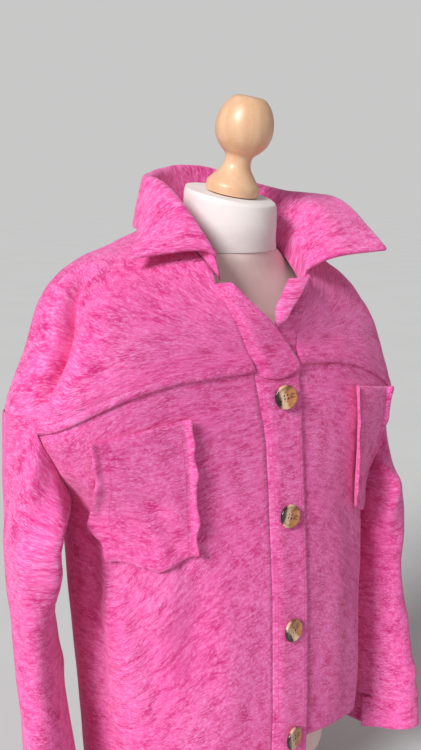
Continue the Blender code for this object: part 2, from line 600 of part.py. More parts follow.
def left_placket():
    """The band under the right one, its top corner turned outwards over itself."""
    z = np.append(np.linspace(PLACKET_HEM_Z[1], PLACKET_YOKE_Z, 12),
                  (0.665, 0.684, 0.695, 0.703, 0.710, 0.716, 0.722, 0.730, 0.738))
    free, roll, seam = placket_edges(1, z)
    share = np.asarray((0.0, 0.5, 0.9, 1.0, 1.15, 1.6, 2.0))
    turned_out = np.clip((z - CORNER_Z) / CORNER_RUN, 0, 1)[:, None]
    stand_off = np.interp(share, (0.0, 0.5, 0.9, 1.0, 1.15, 2.0), (1.0, 0.95, 0.6, 0.3, 0.0, 0.0))
    x = np.where(share < 1, free[:, None] + share * (roll - free)[:, None],
                 roll[:, None] + (share - 1) * (seam - CORNER_GAP - roll)[:, None])
    z = np.repeat(z[:, None], len(share), 1)
    outside = front_point(x, z, turned_out * stand_off * CORNER_ROLL)
    normal = unit(np.cross(np.gradient(outside, axis=1), np.gradient(outside, axis=0)))
    wall("placket_left", outside, outside - normal * CLOTH)


def add_sleeves():
    """The sleeves and their unbuttoned cuffs."""
    for side, word in ((-1, "right"), (1, "left")):
        even = np.linspace(0, 1, 25)[:-1]
        crowded = even - ARMHOLE_CROWDING * np.sin(4 * math.pi * even) / (4 * math.pi)
        angle, share = np.meshgrid(crowded, np.linspace(0, 1, 17)**1.15)
        wall(f"sleeve_{word}", sleeve(side, angle, share, 0.0 * share),
             sleeve(side, angle, share, -CLOTH + 0.0 * share), tube=True)


def cuff_grid(side, down_rows, inset):
    """An unbuttoned cuff's grid: round the wrist from its opening, then the tab that stands out."""
    angles = CUFF_OPENING + np.linspace(CUFF_GAP, 1.0, 24)
    middle = np.asarray((RIGHT_SLEEVE if side < 0 else LEFT_SLEEVE)[-1][:3])
    wrist = sleeve(side, angles, np.ones_like(angles), 0.0 * angles) - middle
    around = np.gradient(wrist, axis=0)
    normal, run = unit(np.cross(around, (0.0, 0.0, -side))), unit(around[-1])
    rows = []
    for share in down_rows:
        flare = 1 + (CUFF_FLARE - 1) * share
        row = wrist * (flare, flare, 1.0) + normal * (CUFF_PROUD - inset)
        tab = [row[-1] + (run * CUFF_TAB + normal[-1] * CUFF_TAB_LIFT) * k / 3 for k in (1, 2, 3)]
        lift = np.array((0.0, 0.0, -CUFF_CLEAR - CUFF_HEIGHT * share))
        rows.append(np.vstack((row, tab)) + middle + lift)
    return np.array(rows)


def add_cuffs():
    """The two cuffs, each a band that is open at its tab."""
    down = np.linspace(0, 1, 5)
    for side, word in ((-1, "right"), (1, "left")):
        wall(f"cuff_{word}", cuff_grid(side, down, 0.0), cuff_grid(side, down, CLOTH))


def add_collar():
    """The collar, turned down on the wearer's right and flared out on the left."""
    across, place = np.meshgrid(np.linspace(0, 1, 9), np.linspace(COLLAR[0][0], COLLAR[-1][0], 27))
    wall("collar", collar_point(place, across, 0.0 * place),
         collar_point(place, across, 0.0 * place + COLLAR_THICK))


def add_pockets():
    """A patch pocket on each front, pointed at the bottom, its raw side margins standing out."""
    for side, word, sizes in ((-1, "right", RIGHT_POCKET), (1, "left", LEFT_POCKET)):
        (inner_top, outer_top, inner_bottom, outer_bottom, z_top_inner, z_top_outer,
         z_bottom_inner, z_bottom_outer, point) = sizes
        share, rise = np.meshgrid(POCKET_SHARES, np.linspace(0, 1, 13))
        inner = inner_bottom + (inner_top - inner_bottom) * rise
        outer = outer_bottom + (outer_top - outer_bottom) * rise
        low = (z_bottom_inner + (z_bottom_outer - z_bottom_inner) * share
               - point * (1 - np.abs(2 * share - 1)))
        high = z_top_inner + (z_top_outer - z_top_inner) * share
        turn, level = find(side * (inner + (outer - inner) * share), low + (high - low) * rise)
        margin = np.clip(1 - np.minimum(share, 1 - share) / POCKET_MARGIN, 0, 1)
        sheet(f"pocket_{word}", turn, level,
              POCKET_RISE + CLOTH + POCKET_MARGIN_RISE * margin)


def add_buttons():
    """The four buttons down the right placket."""
    for index in range(4):
        turn, level = find(BUTTON_X, TOP_BUTTON_Z - index * BUTTON_PITCH)
        add_button(f"button_front_{index + 1}", turn, level, LAP)


def add_button(name, turn, level, lift):
    """A turned button with a raised rim, lying on the cloth."""
    spot = Vector(cloth(turn, level, lift + BUTTON_RISE))
    tilt = Vector(facing(trunk, turn, level)).to_track_quat("Z", "Y").to_matrix().to_4x4()
    turned(name, [(r * BUTTON_RADIUS, h * BUTTON_THICK) for r, h in BUTTON_PROFILE], 16,
           Matrix.Translation(spot) @ tilt, "horn")


def turned(name, profile, sides, place, finish):
    """A shape turned about its own Z axis from (radius, height) points, closed at both ends."""
    verts, rings = [], []
    for radius, height in profile:
        if radius < 1e-9:
            rings.append([len(verts)] * sides)
            verts.append(place @ Vector((0, 0, height)))
            continue
        rings.append(list(range(len(verts), len(verts) + sides)))
        for k in range(sides):
            spin = 2 * math.pi * k / sides
            verts.append(place @ Vector((radius * math.cos(spin), radius * math.sin(spin), height)))
    faces = []
    for low, high in zip(rings, rings[1:]):
        for k in range(sides):
            n = (k + 1) % sides
            corners = (low[k], low[n], high[n], high[k])
            faces.append(tuple(dict.fromkeys(corners)))
    for ring, flip in ((rings[0], True), (rings[-1], False)):
        if len(set(ring)) > 1:
            faces.append(tuple(reversed(ring)) if flip else tuple(ring))
    make_object(name, verts, faces, finish)


# ---- the dress form -------------------------------------------------------------------------
def lofted(name, table, rows, sides, finish, lean_x=0.0, lean_y=0.0):
    """A closed solid through oval sections, level at the bottom and leaning more further up."""
    spots = along(table, np.linspace(0, len(table) - 1, rows))
    verts, faces = [], []
    for i, (z, half_wide, half_deep, y) in enumerate(spots):
        share = i / (rows - 1)
        shift = NECK_TOP.x * share if lean_x else 0.0
        for k in range(sides):
            spin = 2 * math.pi * k / sides
            across, deep = half_wide * math.cos(spin), half_deep * math.sin(spin)
            verts.append((across + shift, y + deep,
                          z + share * (deep * math.tan(lean_x) - across * math.tan(lean_y))))
    for i in range(rows - 1):
        for k in range(sides):
            n = (k + 1) % sides
            faces.append((i * sides + k, i * sides + n, (i + 1) * sides + n, (i + 1) * sides + k))
    faces.append(tuple(range(sides))[::-1])
    faces.append(tuple((rows - 1) * sides + k for k in range(sides)))
    make_object(name, verts, faces, finish)


def add_form():
    """The trunk, neck, wooden knob, pole and base that carry the jacket."""
    lofted("form_trunk", FORM_TRUNK, 14, 24, "form_cloth")
    lofted("form_neck", FORM_NECK, 7, 24, "neck_cloth", NECK_LEAN_FORWARD, NECK_LEAN_LEFT)
    lean = Matrix.Rotation(NECK_LEAN_FORWARD, 4, "X") @ Matrix.Rotation(NECK_LEAN_LEFT, 4, "Y")
    turned("neck_knob", KNOB_PROFILE, 24, Matrix.Translation(KNOB_FOOT) @ lean, "beech")
    pole = ((FLANGE_RADIUS, BASE_THICK + CONTACT), (FLANGE_RADIUS, BASE_THICK + FLANGE_HEIGHT),
            (POLE_RADIUS, BASE_THICK + FLANGE_TAPER), (POLE_RADIUS, FORM_TRUNK[0][0] - CONTACT))
    turned("stand_pole", pole, 20, Matrix(), "stand_paint")
    base = ((BASE_RADIUS, 0.0), (BASE_RADIUS, BASE_THICK - BASE_BEVEL),
            (BASE_RADIUS - BASE_BEVEL, BASE_THICK), (0.0, BASE_THICK))
    turned("stand_base", base, 40, Matrix(), "stand_paint")


def main():
    """Clear the scene and build the jacket and its form."""
    for thing in list(bpy.data.objects):
        bpy.data.objects.remove(thing, do_unlink=True)
    add_back()
    add_fronts()
    add_plackets()
    add_sleeves()
    add_cuffs()
    add_collar()
    add_pockets()
    add_buttons()
    add_form()


main()
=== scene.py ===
"""Shirt jacket in thick brushed wool, open-necked on a limbless dress form.

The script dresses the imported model. Every cloth piece is rebuilt on the surface that its solid was
made on, at a finer spacing, with its smaller folds, its raw edges, its seams and its nap.
"""
import json
import logging
import math
from collections.abc import Callable, Sequence
from dataclasses import dataclass
from enum import Enum

import bmesh
import bpy
import numpy as np
from mathutils import Matrix, Vector

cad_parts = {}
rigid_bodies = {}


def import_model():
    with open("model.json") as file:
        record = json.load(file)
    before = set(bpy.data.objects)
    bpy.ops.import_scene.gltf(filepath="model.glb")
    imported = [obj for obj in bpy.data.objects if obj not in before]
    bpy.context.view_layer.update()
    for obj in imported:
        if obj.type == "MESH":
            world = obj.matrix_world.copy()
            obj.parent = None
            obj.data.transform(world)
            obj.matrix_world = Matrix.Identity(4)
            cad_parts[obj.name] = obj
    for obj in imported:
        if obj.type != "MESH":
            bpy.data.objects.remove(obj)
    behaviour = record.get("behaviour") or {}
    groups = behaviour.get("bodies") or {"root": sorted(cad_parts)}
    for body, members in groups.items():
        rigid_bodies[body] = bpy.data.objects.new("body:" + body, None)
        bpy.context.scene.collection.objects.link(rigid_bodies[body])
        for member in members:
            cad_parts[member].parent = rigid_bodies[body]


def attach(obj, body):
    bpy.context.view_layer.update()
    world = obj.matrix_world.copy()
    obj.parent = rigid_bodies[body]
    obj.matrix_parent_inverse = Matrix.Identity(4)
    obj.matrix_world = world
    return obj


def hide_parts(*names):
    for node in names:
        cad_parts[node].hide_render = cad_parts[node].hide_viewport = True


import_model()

LOG = logging.getLogger("shirt_jacket")
Grid = np.ndarray
Colour = tuple[float, float, float]
Tone = tuple[int, int, int]
Table = tuple[tuple[float, ...], ...]


# ---- small mathematics ----------------------------------------------------------------------
def smooth(value: Grid, low: float = 0.0, high: float = 1.0) -> Grid:
    """Run softly from 0 at low to 1 at high."""
    t = np.clip((np.asarray(value, float) - low) / (high - low), 0.0, 1.0)
    return t * t * (3 - 2 * t)


def unit(vectors: Grid) -> Grid:
    """Scale vectors to length 1."""
    return vectors / np.maximum(np.linalg.norm(vectors, axis=-1, keepdims=True), 1e-12)


def along(rows: Table, place: Grid) -> Grid:
    """Read every column of a table at fractional row numbers, on a smooth curve.

    Args:
        rows: the table, a row for each section.
        place: row numbers, whole or not.

    Returns:
        The columns' values, in the last axis.
    """
    table = np.asarray(rows, float)
    place = np.clip(np.asarray(place, float), 0.0, len(table) - 1.0)
    low = np.minimum(place.astype(int), len(table) - 2)
    t = (place - low)[..., None]
    padded = np.vstack((2 * table[0] - table[1], table, 2 * table[-1] - table[-2]))
    before, start, end, after = (padded[low + k] for k in range(4))
    pull_in, pull_out = (end - before) / 2, (after - start) / 2
    return ((2 * t**3 - 3 * t**2 + 1) * start + (t**3 - 2 * t**2 + t) * pull_in
            + (3 * t**2 - 2 * t**3) * end + (t**3 - t**2) * pull_out)


def by_key(rows: Table, key: Grid) -> Grid:
    """Read a table's other columns smoothly at values of its first column.

    Args:
        rows: the table, its first column rising.
        key: values of the first column.

    Returns:
        One array for each other column.
    """
    table = np.asarray(rows, float)
    place = np.interp(key, table[:, 0], np.arange(len(table)))
    return np.moveaxis(along(rows, place)[..., 1:], -1, 0)


def facing(surface: Callable[[Grid, Grid], Grid], u: Grid, v: Grid, step: float = 1e-3) -> Grid:
    """Find the outward unit normal of a surface of two measures.

    Args:
        surface: a function from (u, v) to points.
        u: the measure that runs round.
        v: the measure that runs up.
        step: how far apart the samples are.

    Returns:
        Unit vectors.
    """
    across = surface(u + step, v) - surface(u - step, v)
    upward = surface(u, v + 4 * step) - surface(u, v - 4 * step)
    return unit(np.cross(across, upward))


def fold_height(table: Table, u: Grid, v: Grid, scale_u: float, scale_v: float) -> Grid:
    """Add up the height of all folds in a table at places (u, v).

    Args:
        table: rows of two ends, width and rise.
        u: first measure.
        v: second measure.
        scale_u: metres in one unit of u.
        scale_v: metres in one unit of v.

    Returns:
        Heights in metres.
    """
    height = np.zeros(np.broadcast(u, v).shape)
    for u_a, v_a, u_b, v_b, width, rise in table:
        run_u, run_v = (u_b - u_a) * scale_u, (v_b - v_a) * scale_v
        off_u, off_v = (u - u_a) * scale_u, (v - v_a) * scale_v
        share = (off_u * run_u + off_v * run_v) / (run_u**2 + run_v**2)
        near = np.clip(share, 0.0, 1.0)
        gap2 = (off_u - near * run_u)**2 + (off_v - near * run_v)**2
        swell = 0.25 + 0.75 * np.sin(math.pi * near)
        height = height + rise * swell * np.exp(-gap2 / (2 * width**2))
    return height


def ripple(u: Grid, v: Grid, length: float, seed: int) -> Grid:
    """Give a soft uneven relief between about -1 and 1.

    Args:
        u: metres one way.
        v: metres the other way.
        length: the usual distance from one swell to the next, in metres.
        seed: picks one of many such reliefs.

    Returns:
        Heights without a unit.
    """
    rng = np.random.default_rng(seed)
    total = np.zeros(np.broadcast(u, v).shape)
    for _ in range(9):
        heading, phase = rng.uniform(0, math.tau, 2)
        pitch = length * rng.uniform(0.7, 1.6)
        total = total + np.sin(math.tau / pitch * (u * math.cos(heading) + v * math.sin(heading))
                               + phase)
    return total / 4.0


# ---- the surfaces that the cloth lies on ----------------------------------------------------
@dataclass(frozen=True)
class BodySurface:
    """The jacket's body as places (turn, level).

    turn is 0 at the centre front, -1 and 1 at the wearer's right and left side and 2 at the
    centre back; level is 0 at the hem and 10 at the neck.
    """

    cloth_thickness: float = 0.0026
    lap: float = 0.0032
    neck_level: float = 10.0
    underarm_level: float = 3.0
    drop_seam_level: float = 5.0
    armhole_widest_level: float = 4.5
    armhole_front: float = 0.20
    armhole_back: float = 0.26
    armhole_square_top: float = 3.5
    armhole_square_foot: float = 1.6
    yoke_z: float = 0.6445
    yoke_drop: float = 1.8
    yoke_lap: float = 0.008
    corner_lean: float = 0.43
    turn_metres: float = 0.26
    level_metres: float = 0.060
    # z front, side, back; y front, back; x and y of the side; squareness front and back
    right_rings: Table = (
        (0.162, 0.150, 0.150, -0.127, 0.118, 0.194, 0.004, 0.62, 0.56),
        (0.250, 0.240, 0.240, -0.126, 0.120, 0.200, 0.004, 0.62, 0.56),
        (0.370, 0.370, 0.370, -0.120, 0.122, 0.208, 0.008, 0.64, 0.58),
        (0.480, 0.497, 0.490, -0.111, 0.122, 0.218, 0.010, 0.70, 0.60),
        (0.538, 0.560, 0.560, -0.105, 0.122, 0.256, 0.006, 0.80, 0.60),
        (0.590, 0.612, 0.620, -0.100, 0.119, 0.282, 0.002, 0.86, 0.58),
        (0.612, 0.680, 0.670, -0.097, 0.112, 0.255, 0.004, 0.88, 0.58),
        (0.638, 0.730, 0.715, -0.095, 0.104, 0.234, 0.006, 0.84, 0.58),
        (0.661, 0.759, 0.752, -0.093, 0.094, 0.194, 0.012, 0.80, 0.60),
        (0.682, 0.774, 0.784, -0.094, 0.082, 0.143, 0.018, 0.82, 0.60),
        (0.700, 0.790, 0.808, -0.096, 0.066, 0.094, 0.018, 0.88, 0.58),
    )
    left_rings: Table = (
        (0.162, 0.140, 0.150, -0.127, 0.118, 0.188, 0.004, 0.60, 0.56),
        (0.250, 0.240, 0.240, -0.126, 0.120, 0.191, 0.004, 0.60, 0.56),
        (0.370, 0.370, 0.370, -0.120, 0.122, 0.196, 0.008, 0.60, 0.58),
        (0.480, 0.470, 0.490, -0.111, 0.122, 0.200, 0.010, 0.60, 0.60),
        (0.538, 0.520, 0.560, -0.105, 0.122, 0.224, 0.010, 0.62, 0.60),
        (0.590, 0.564, 0.620, -0.100, 0.119, 0.250, 0.008, 0.64, 0.60),
        (0.612, 0.632, 0.670, -0.097, 0.112, 0.236, 0.008, 0.64, 0.60),
        (0.638, 0.690, 0.715, -0.095, 0.104, 0.212, 0.010, 0.64, 0.60),
        (0.661, 0.730, 0.752, -0.093, 0.094, 0.174, 0.014, 0.64, 0.60),
        (0.682, 0.760, 0.784, -0.094, 0.082, 0.120, 0.018, 0.68, 0.60),
        (0.700, 0.784, 0.808, -0.096, 0.066, 0.066, 0.018, 0.76, 0.58),
    )
    # where the right drop seam is raised at its front corner: turn, level, their reach, the rise
    shoulder_point: tuple[float, ...] = (-0.72, 5.1, 0.17, 1.5, 0.30)
    # z, free edge, seam; on the left also the roll line between them
    right_placket: Table = (
        (0.160, 0.021, -0.030), (0.560, 0.021, -0.030), (0.645, 0.019, -0.042),
        (0.672, 0.000, -0.052), (0.697, -0.024, -0.064), (0.720, -0.050, -0.076),
        (0.738, -0.070, -0.086),
    )
    left_placket: Table = (
        (0.160, -0.022, -0.010, 0.014), (0.684, -0.016, -0.010, 0.020),
        (0.696, -0.010, -0.014, 0.024), (0.708, 0.000, -0.014, 0.031),
        (0.722, 0.018, -0.001, 0.041), (0.738, 0.038, 0.016, 0.050),
    )
    # turn and level of both ends, width and rise
    folds: Table = (
        (-0.80, 8.8, -0.80, 4.9, 0.015, -0.018), (-0.94, 8.0, -0.90, 5.2, 0.010, -0.005),
        (-0.66, 4.5, -0.52, 2.4, 0.012, -0.004), (-0.78, 2.9, -0.60, 1.2, 0.016, 0.006),
        (-0.68, 2.7, -0.52, 1.0, 0.012, -0.005), (-0.92, 2.0, -0.80, 0.0, 0.016, -0.006),
        (0.80, 8.2, 0.76, 4.8, 0.012, -0.014), (0.80, 2.9, 0.66, 0.8, 0.014, -0.006),
        (0.46, 1.6, 0.50, 0.0, 0.018, 0.005), (-1.25, 7.2, -1.22, 4.2, 0.014, -0.010),
        (1.25, 7.2, 1.22, 4.2, 0.014, -0.010), (-1.55, 3.4, -1.40, 0.6, 0.020, -0.007),
        (1.60, 3.0, 1.44, 0.2, 0.020, -0.007), (-1.86, 2.2, -1.80, 0.0, 0.020, 0.005),
        (1.20, 2.4, 1.16, 0.0, 0.016, 0.005),
    )
    fine_folds: Table = (
        (-0.91, 7.9, -0.80, 5.04, 0.0055, -0.0200), (-0.84, 3.2, -0.88, 1.2, 0.012, -0.0080),
        (-0.30, 2.6, -0.44, 1.4, 0.013, -0.0060), (-0.20, 3.6, -0.22, 2.4, 0.014, -0.0030),
        (-0.50, 3.9, -0.40, 3.2, 0.007, -0.0050), (-0.43, 3.4, -0.33, 2.8, 0.007, 0.0034),
        (-0.47, 3.1, -0.36, 2.5, 0.007, -0.0050), (-0.60, 3.6, -0.48, 3.0, 0.008, 0.0026),
        (-0.64, 6.6, -0.52, 6.0, 0.010, -0.0020), (-0.40, 6.1, -0.22, 6.9, 0.010, 0.0016),
        (-0.45, 1.8, -0.36, 0.6, 0.012, 0.0024), (-0.22, 2.0, -0.32, 0.4, 0.014, 0.0030),
        (0.30, 6.0, 0.52, 5.4, 0.012, -0.0020), (0.34, 3.0, 0.42, 1.4, 0.012, -0.0022),
        (0.24, 2.0, 0.28, 0.4, 0.012, 0.0018), (0.62, 3.6, 0.50, 2.6, 0.010, -0.0024),
        (-1.45, 5.6, -1.70, 4.8, 0.014, -0.0030), (1.45, 5.6, 1.72, 4.7, 0.014, -0.0030),
        (-1.65, 1.6, -1.60, 0.0, 0.012, 0.0030), (1.80, 1.9, 1.76, 0.0, 0.012, -0.0030),
    )
    relief: float = 0.00045
    relief_length: float = 0.045

    def bare(self, turn: Grid, level: Grid) -> Grid:
        """Give points of the surface before its folds.

        Args:
            turn: places round the trunk.
            level: places up the trunk.

        Returns:
            Points in metres.
        """
        turn, level = np.broadcast_arrays(np.asarray(turn, float), np.asarray(level, float))
        bump_turn, bump_level, wide_turn, wide_level, raised = self.shoulder_point
        level = level + raised * np.exp(-((turn - bump_turn) / wide_turn)**2
                                        - ((level - bump_level) / wide_level)**2)
        right, left = along(self.right_rings, level), along(self.left_rings, level)
        row = np.moveaxis(np.where((turn < 0)[..., None], right, left), -1, 0)
        z_front, z_side, z_back, y_front, y_back, x_side, y_side, square_f, square_b = row
        ahead = np.abs(turn) <= 1.0
        s = np.where(ahead, np.abs(turn), 2.0 - np.abs(turn))
        y_mid, z_mid = np.where(ahead, y_front, y_back), np.where(ahead, z_front, z_back)
        square = np.where(ahead, square_f, square_b)
        first, second = 3 * (1 - s)**2 * s, 3 * (1 - s) * s**2
        x = x_side * (first * square + second + s**3)
        y = (y_mid * ((1 - s)**3 + first) + (y_side + (y_mid - y_side) * square) * second
             + y_side * s**3)
        z = z_mid + (z_side - z_mid) * s * s * (3 - 2 * s)
        return np.stack((np.sign(turn) * x, y, z), -1)

    def cloth(self, turn: Grid, level: Grid, lift: Grid | float) -> Grid:
        """Give points of the jacket's body with its folds.

        Args:
            turn: places round the trunk.
            level: places up the trunk.
            lift: how far outside the body surface, in metres.

        Returns:
            Points in metres.
        """
        turn, level = np.broadcast_arrays(np.asarray(turn, float), np.asarray(level, float))
        inside = np.clip(turn, -1.999, 1.999)
        height = fold_height(self.folds + self.fine_folds, inside, level, self.turn_metres,
                             self.level_metres)
        height = height + self.relief * ripple(np.abs(inside) * self.turn_metres,
                                               level * self.level_metres, self.relief_length, 3)
        outward = facing(self.bare, inside, level)
        return self.bare(turn, level) + outward * (lift + height)[..., None]

    def find(self, across: Grid, z: Grid, side: int = 0) -> tuple[Grid, Grid]:
        """Find the place that has a height and an x, or on a side a y.

        Args:
            across: x on the front, or y on a side.
            z: heights.
            side: 0 for the front, -1 or 1 for the right or left side.

        Returns:
            turn and level.
        """
        across, z = np.broadcast_arrays(np.asarray(across, float), np.asarray(z, float))
        axis, low, high = (0, -0.98, 0.98) if side == 0 else (1, side - 0.6, side + 0.6)
        turn = across / 0.36 if side == 0 else np.full(z.shape, float(side))
        level = np.full(z.shape, 5.0)
        step = 1e-3
        for _ in range(24):
            point = self.bare(turn, level)
            by_turn = (self.bare(turn + step, level) - point) / step
            by_level = (self.bare(turn, level + step) - point) / step
            miss, miss_z = across - point[..., axis], z - point[..., 2]
            area = by_turn[..., axis] * by_level[..., 2] - by_level[..., axis] * by_turn[..., 2]
            area = np.where(np.abs(area) < 1e-6, 1e-6, area)
            move_turn = (miss * by_level[..., 2] - by_level[..., axis] * miss_z) / area
            move_level = (by_turn[..., axis] * miss_z - miss * by_turn[..., 2]) / area
            turn = np.clip(turn + np.clip(move_turn, -0.15, 0.15), low, high)
            level = np.clip(level + np.clip(move_level, -1.0, 1.0), 0.0, self.neck_level)
        return turn, level

    def front_point(self, x: Grid, z: Grid, lift: Grid | float) -> Grid:
        """Give a point on the front, or straight up from the neck line above it.

        Args:
            x: places across.
            z: heights.
            lift: how far outside the body surface.

        Returns:
            Points in metres.
        """
        turn, level = self.find(x, z)
        point = self.bare(turn, level)
        above = np.maximum(z - point[..., 2], 0.0)
        aside = np.where(above > 0, x - point[..., 0], 0.0)
        rise = np.stack((aside, self.corner_lean * above, above), -1)
        return self.cloth(turn, level, lift) + rise

    def armhole_width(self, level: Grid, reach: float) -> Grid:
        """Say how far the armhole reaches from the side at a level, in turns."""
        level = np.asarray(level, float)
        upper = level > self.armhole_widest_level
        end = np.where(upper, self.drop_seam_level, self.underarm_level)
        off = np.clip((level - self.armhole_widest_level) / (end - self.armhole_widest_level),
                      0.0, 1.0)
        square = np.where(upper, self.armhole_square_top, self.armhole_square_foot)
        return reach * (1 - off**square)**(1 / square)

    def yoke_level(self, turn: Grid, rise: float) -> Grid:
        """Find the level at which the yoke's lower edge, moved up by rise, crosses a turn."""
        level_run = np.where(turn < 0, 0.120, 0.030)
        low, high = np.full(turn.shape, 3.0), np.full(turn.shape, self.neck_level)
        for _ in range(26):
            middle = (low + high) / 2
            point = self.bare(turn, middle)
            out = np.maximum(np.abs(point[..., 0]) - level_run, 0.0)
            under = point[..., 2] < self.yoke_z + rise - self.yoke_drop * out * out
            low, high = np.where(under, middle, low), np.where(under, high, middle)
        return low

    def placket_edges(self, side: int, z: Grid) -> Grid:
        """Read the x of a placket's lines at heights z."""
        table = self.right_placket if side < 0 else self.left_placket
        return by_key(table, np.clip(z, table[0][0], table[-1][0]))


BODY = BodySurface()


@dataclass(frozen=True)
class SleeveSurface:
    """One sleeve as places (angle in turns from its outside, share of the way down)."""

    side: int
    # x, y, z of the middle; half-width outwards and fore-and-aft; degrees turned
    right_sections: Table = (
        (-0.264, 0.010, 0.558, 0.026, 0.052, 18.0), (-0.264, 0.012, 0.490, 0.020, 0.056, 28.0),
        (-0.262, 0.012, 0.420, 0.019, 0.058, 31.0), (-0.257, 0.010, 0.340, 0.021, 0.060, 30.0),
        (-0.252, 0.007, 0.260, 0.024, 0.060, 28.0), (-0.248, 0.004, 0.190, 0.028, 0.060, 26.0),
        (-0.249, 0.000, 0.140, 0.029, 0.058, 24.0),
    )
    left_sections: Table = (
        (0.232, 0.010, 0.512, 0.028, 0.054, -8.0), (0.232, 0.006, 0.455, 0.025, 0.057, -10.0),
        (0.229, -0.004, 0.390, 0.025, 0.060, -12.0), (0.226, -0.014, 0.320, 0.025, 0.058, -14.0),
        (0.226, -0.026, 0.250, 0.026, 0.057, -18.0), (0.229, -0.040, 0.195, 0.028, 0.055, -22.0),
        (0.234, -0.050, 0.150, 0.031, 0.054, -24.0),
    )
    fade: float = 0.20
    inset: float = 0.004
    clear: float = 0.0006
    inner_clear: float = 0.004
    round_metres: float = 0.30
    long_metres: float = 0.43
    ring_metres: float = 0.05
    folds: Table = (
        (0.35, 0.03, 0.34, 0.44, 0.024, -0.020), (0.20, 0.05, 0.21, 0.60, 0.012, 0.004),
        (0.10, 0.45, 0.24, 0.78, 0.014, -0.004), (0.70, 0.30, 0.88, 0.62, 0.014, -0.005),
        (0.04, 0.62, 0.16, 0.98, 0.014, 0.004),
    )
    fine_folds: Table = (
        (0.26, 0.00, 0.34, 0.32, 0.006, -0.0200), (0.02, 0.10, 0.10, 0.40, 0.010, -0.0024),
        (0.90, 0.16, 0.98, 0.46, 0.012, 0.0022),
        (0.14, 0.80, 0.30, 0.92, 0.009, -0.0030), (0.02, 0.84, 0.16, 0.94, 0.009, 0.0024),
        (0.76, 0.66, 0.92, 0.80, 0.010, -0.0028), (0.60, 0.78, 0.80, 0.92, 0.010, 0.0026),
        (0.50, 0.52, 0.68, 0.60, 0.010, -0.0030), (0.30, 0.60, 0.44, 0.70, 0.010, -0.0030),
    )

    @property
    def sections(self) -> Table:
        """Give this side's sections."""
        return self.right_sections if self.side < 0 else self.left_sections

    def armhole(self, angle: Grid) -> Grid:
        """Give the sleeve's top edge, just inside the armhole."""
        middle = (BODY.underarm_level + BODY.drop_seam_level) / 2
        half = (BODY.drop_seam_level - BODY.underarm_level) / 2
        level = middle + half * np.cos(math.tau * angle)
        width = np.where(angle <= 0.5, -BODY.armhole_width(level, BODY.armhole_front),
                         BODY.armhole_width(level, BODY.armhole_back))
        kept = 1 - self.inset
        return BODY.cloth(self.side * (1 + kept * width), middle + kept * (level - middle), 0.0)

    def bare(self, angle: Grid, share: Grid) -> Grid:
        """Give points of the sleeve before its folds.

        Args:
            angle: places round the sleeve, in turns.
            share: places down the sleeve.

        Returns:
            Points in metres.
        """
        angle = np.asarray(angle, float)
        share = np.clip(np.asarray(share, float), 0.0, 1.0)
        angle, share = np.broadcast_arrays(angle, share)
        x, y, z, out, fore, turned = np.moveaxis(along(self.sections,
                                                       share * (len(self.sections) - 1)), -1, 0)
        middle = np.stack((x, y, z), -1)
        outward = out * np.cos(math.tau * angle)
        forward = fore * np.sin(math.tau * angle)
        lean = np.radians(turned)
        ring = middle + np.stack((self.side * outward * np.cos(lean) - forward * np.sin(lean),
                                  -forward * np.cos(lean) - self.side * outward * np.sin(lean),
                                  np.zeros_like(x)), -1)
        hung = self.armhole(np.mod(angle, 1.0)) + (middle - np.asarray(self.sections[0][:3]))
        blend = smooth(share / self.fade)[..., None]
        return hung * (1 - blend) + ring * blend

    def cloth(self, angle: Grid, share: Grid, lift: Grid | float) -> Grid:
        """Give points of the sleeve with its folds, kept clear of the trunk.

        Args:
            angle: places round the sleeve, in turns.
            share: places down the sleeve.
            lift: how far outside.

        Returns:
            Points in metres.
        """
        normal = -self.side * facing(self.bare, angle, share)
        round_it = np.mod(angle, 1.0)
        height = fold_height(self.folds + self.fine_folds, round_it, share,
                             self.round_metres, self.long_metres)
        height = height * np.clip(share / 0.10, 0.0, 1.0)
        spin = math.tau * round_it
        relief = ripple(np.cos(spin) * self.ring_metres,
                        share * self.long_metres + np.sin(spin) * self.ring_metres,
                        BODY.relief_length, 11)
        height = height + BODY.relief * relief * smooth(share / 0.08)
        point = self.bare(angle, share) + normal * (lift + height)[..., None]
        below = point - (0.0, 0.0, self.clear)
        turn, level = BODY.find(below[..., 1], below[..., 2], self.side)
        beside = BODY.cloth(turn, level, 0.0)
        gap = self.clear + (self.inner_clear - self.clear) * np.clip(share / 0.10, 0.0, 1.0)
        reach = np.where(np.abs(beside[..., 1] - below[..., 1]) < 0.004,
                         self.side * beside[..., 0] + gap, -1.0)
        below[..., 0] = self.side * np.maximum(self.side * below[..., 0], reach)
        return below


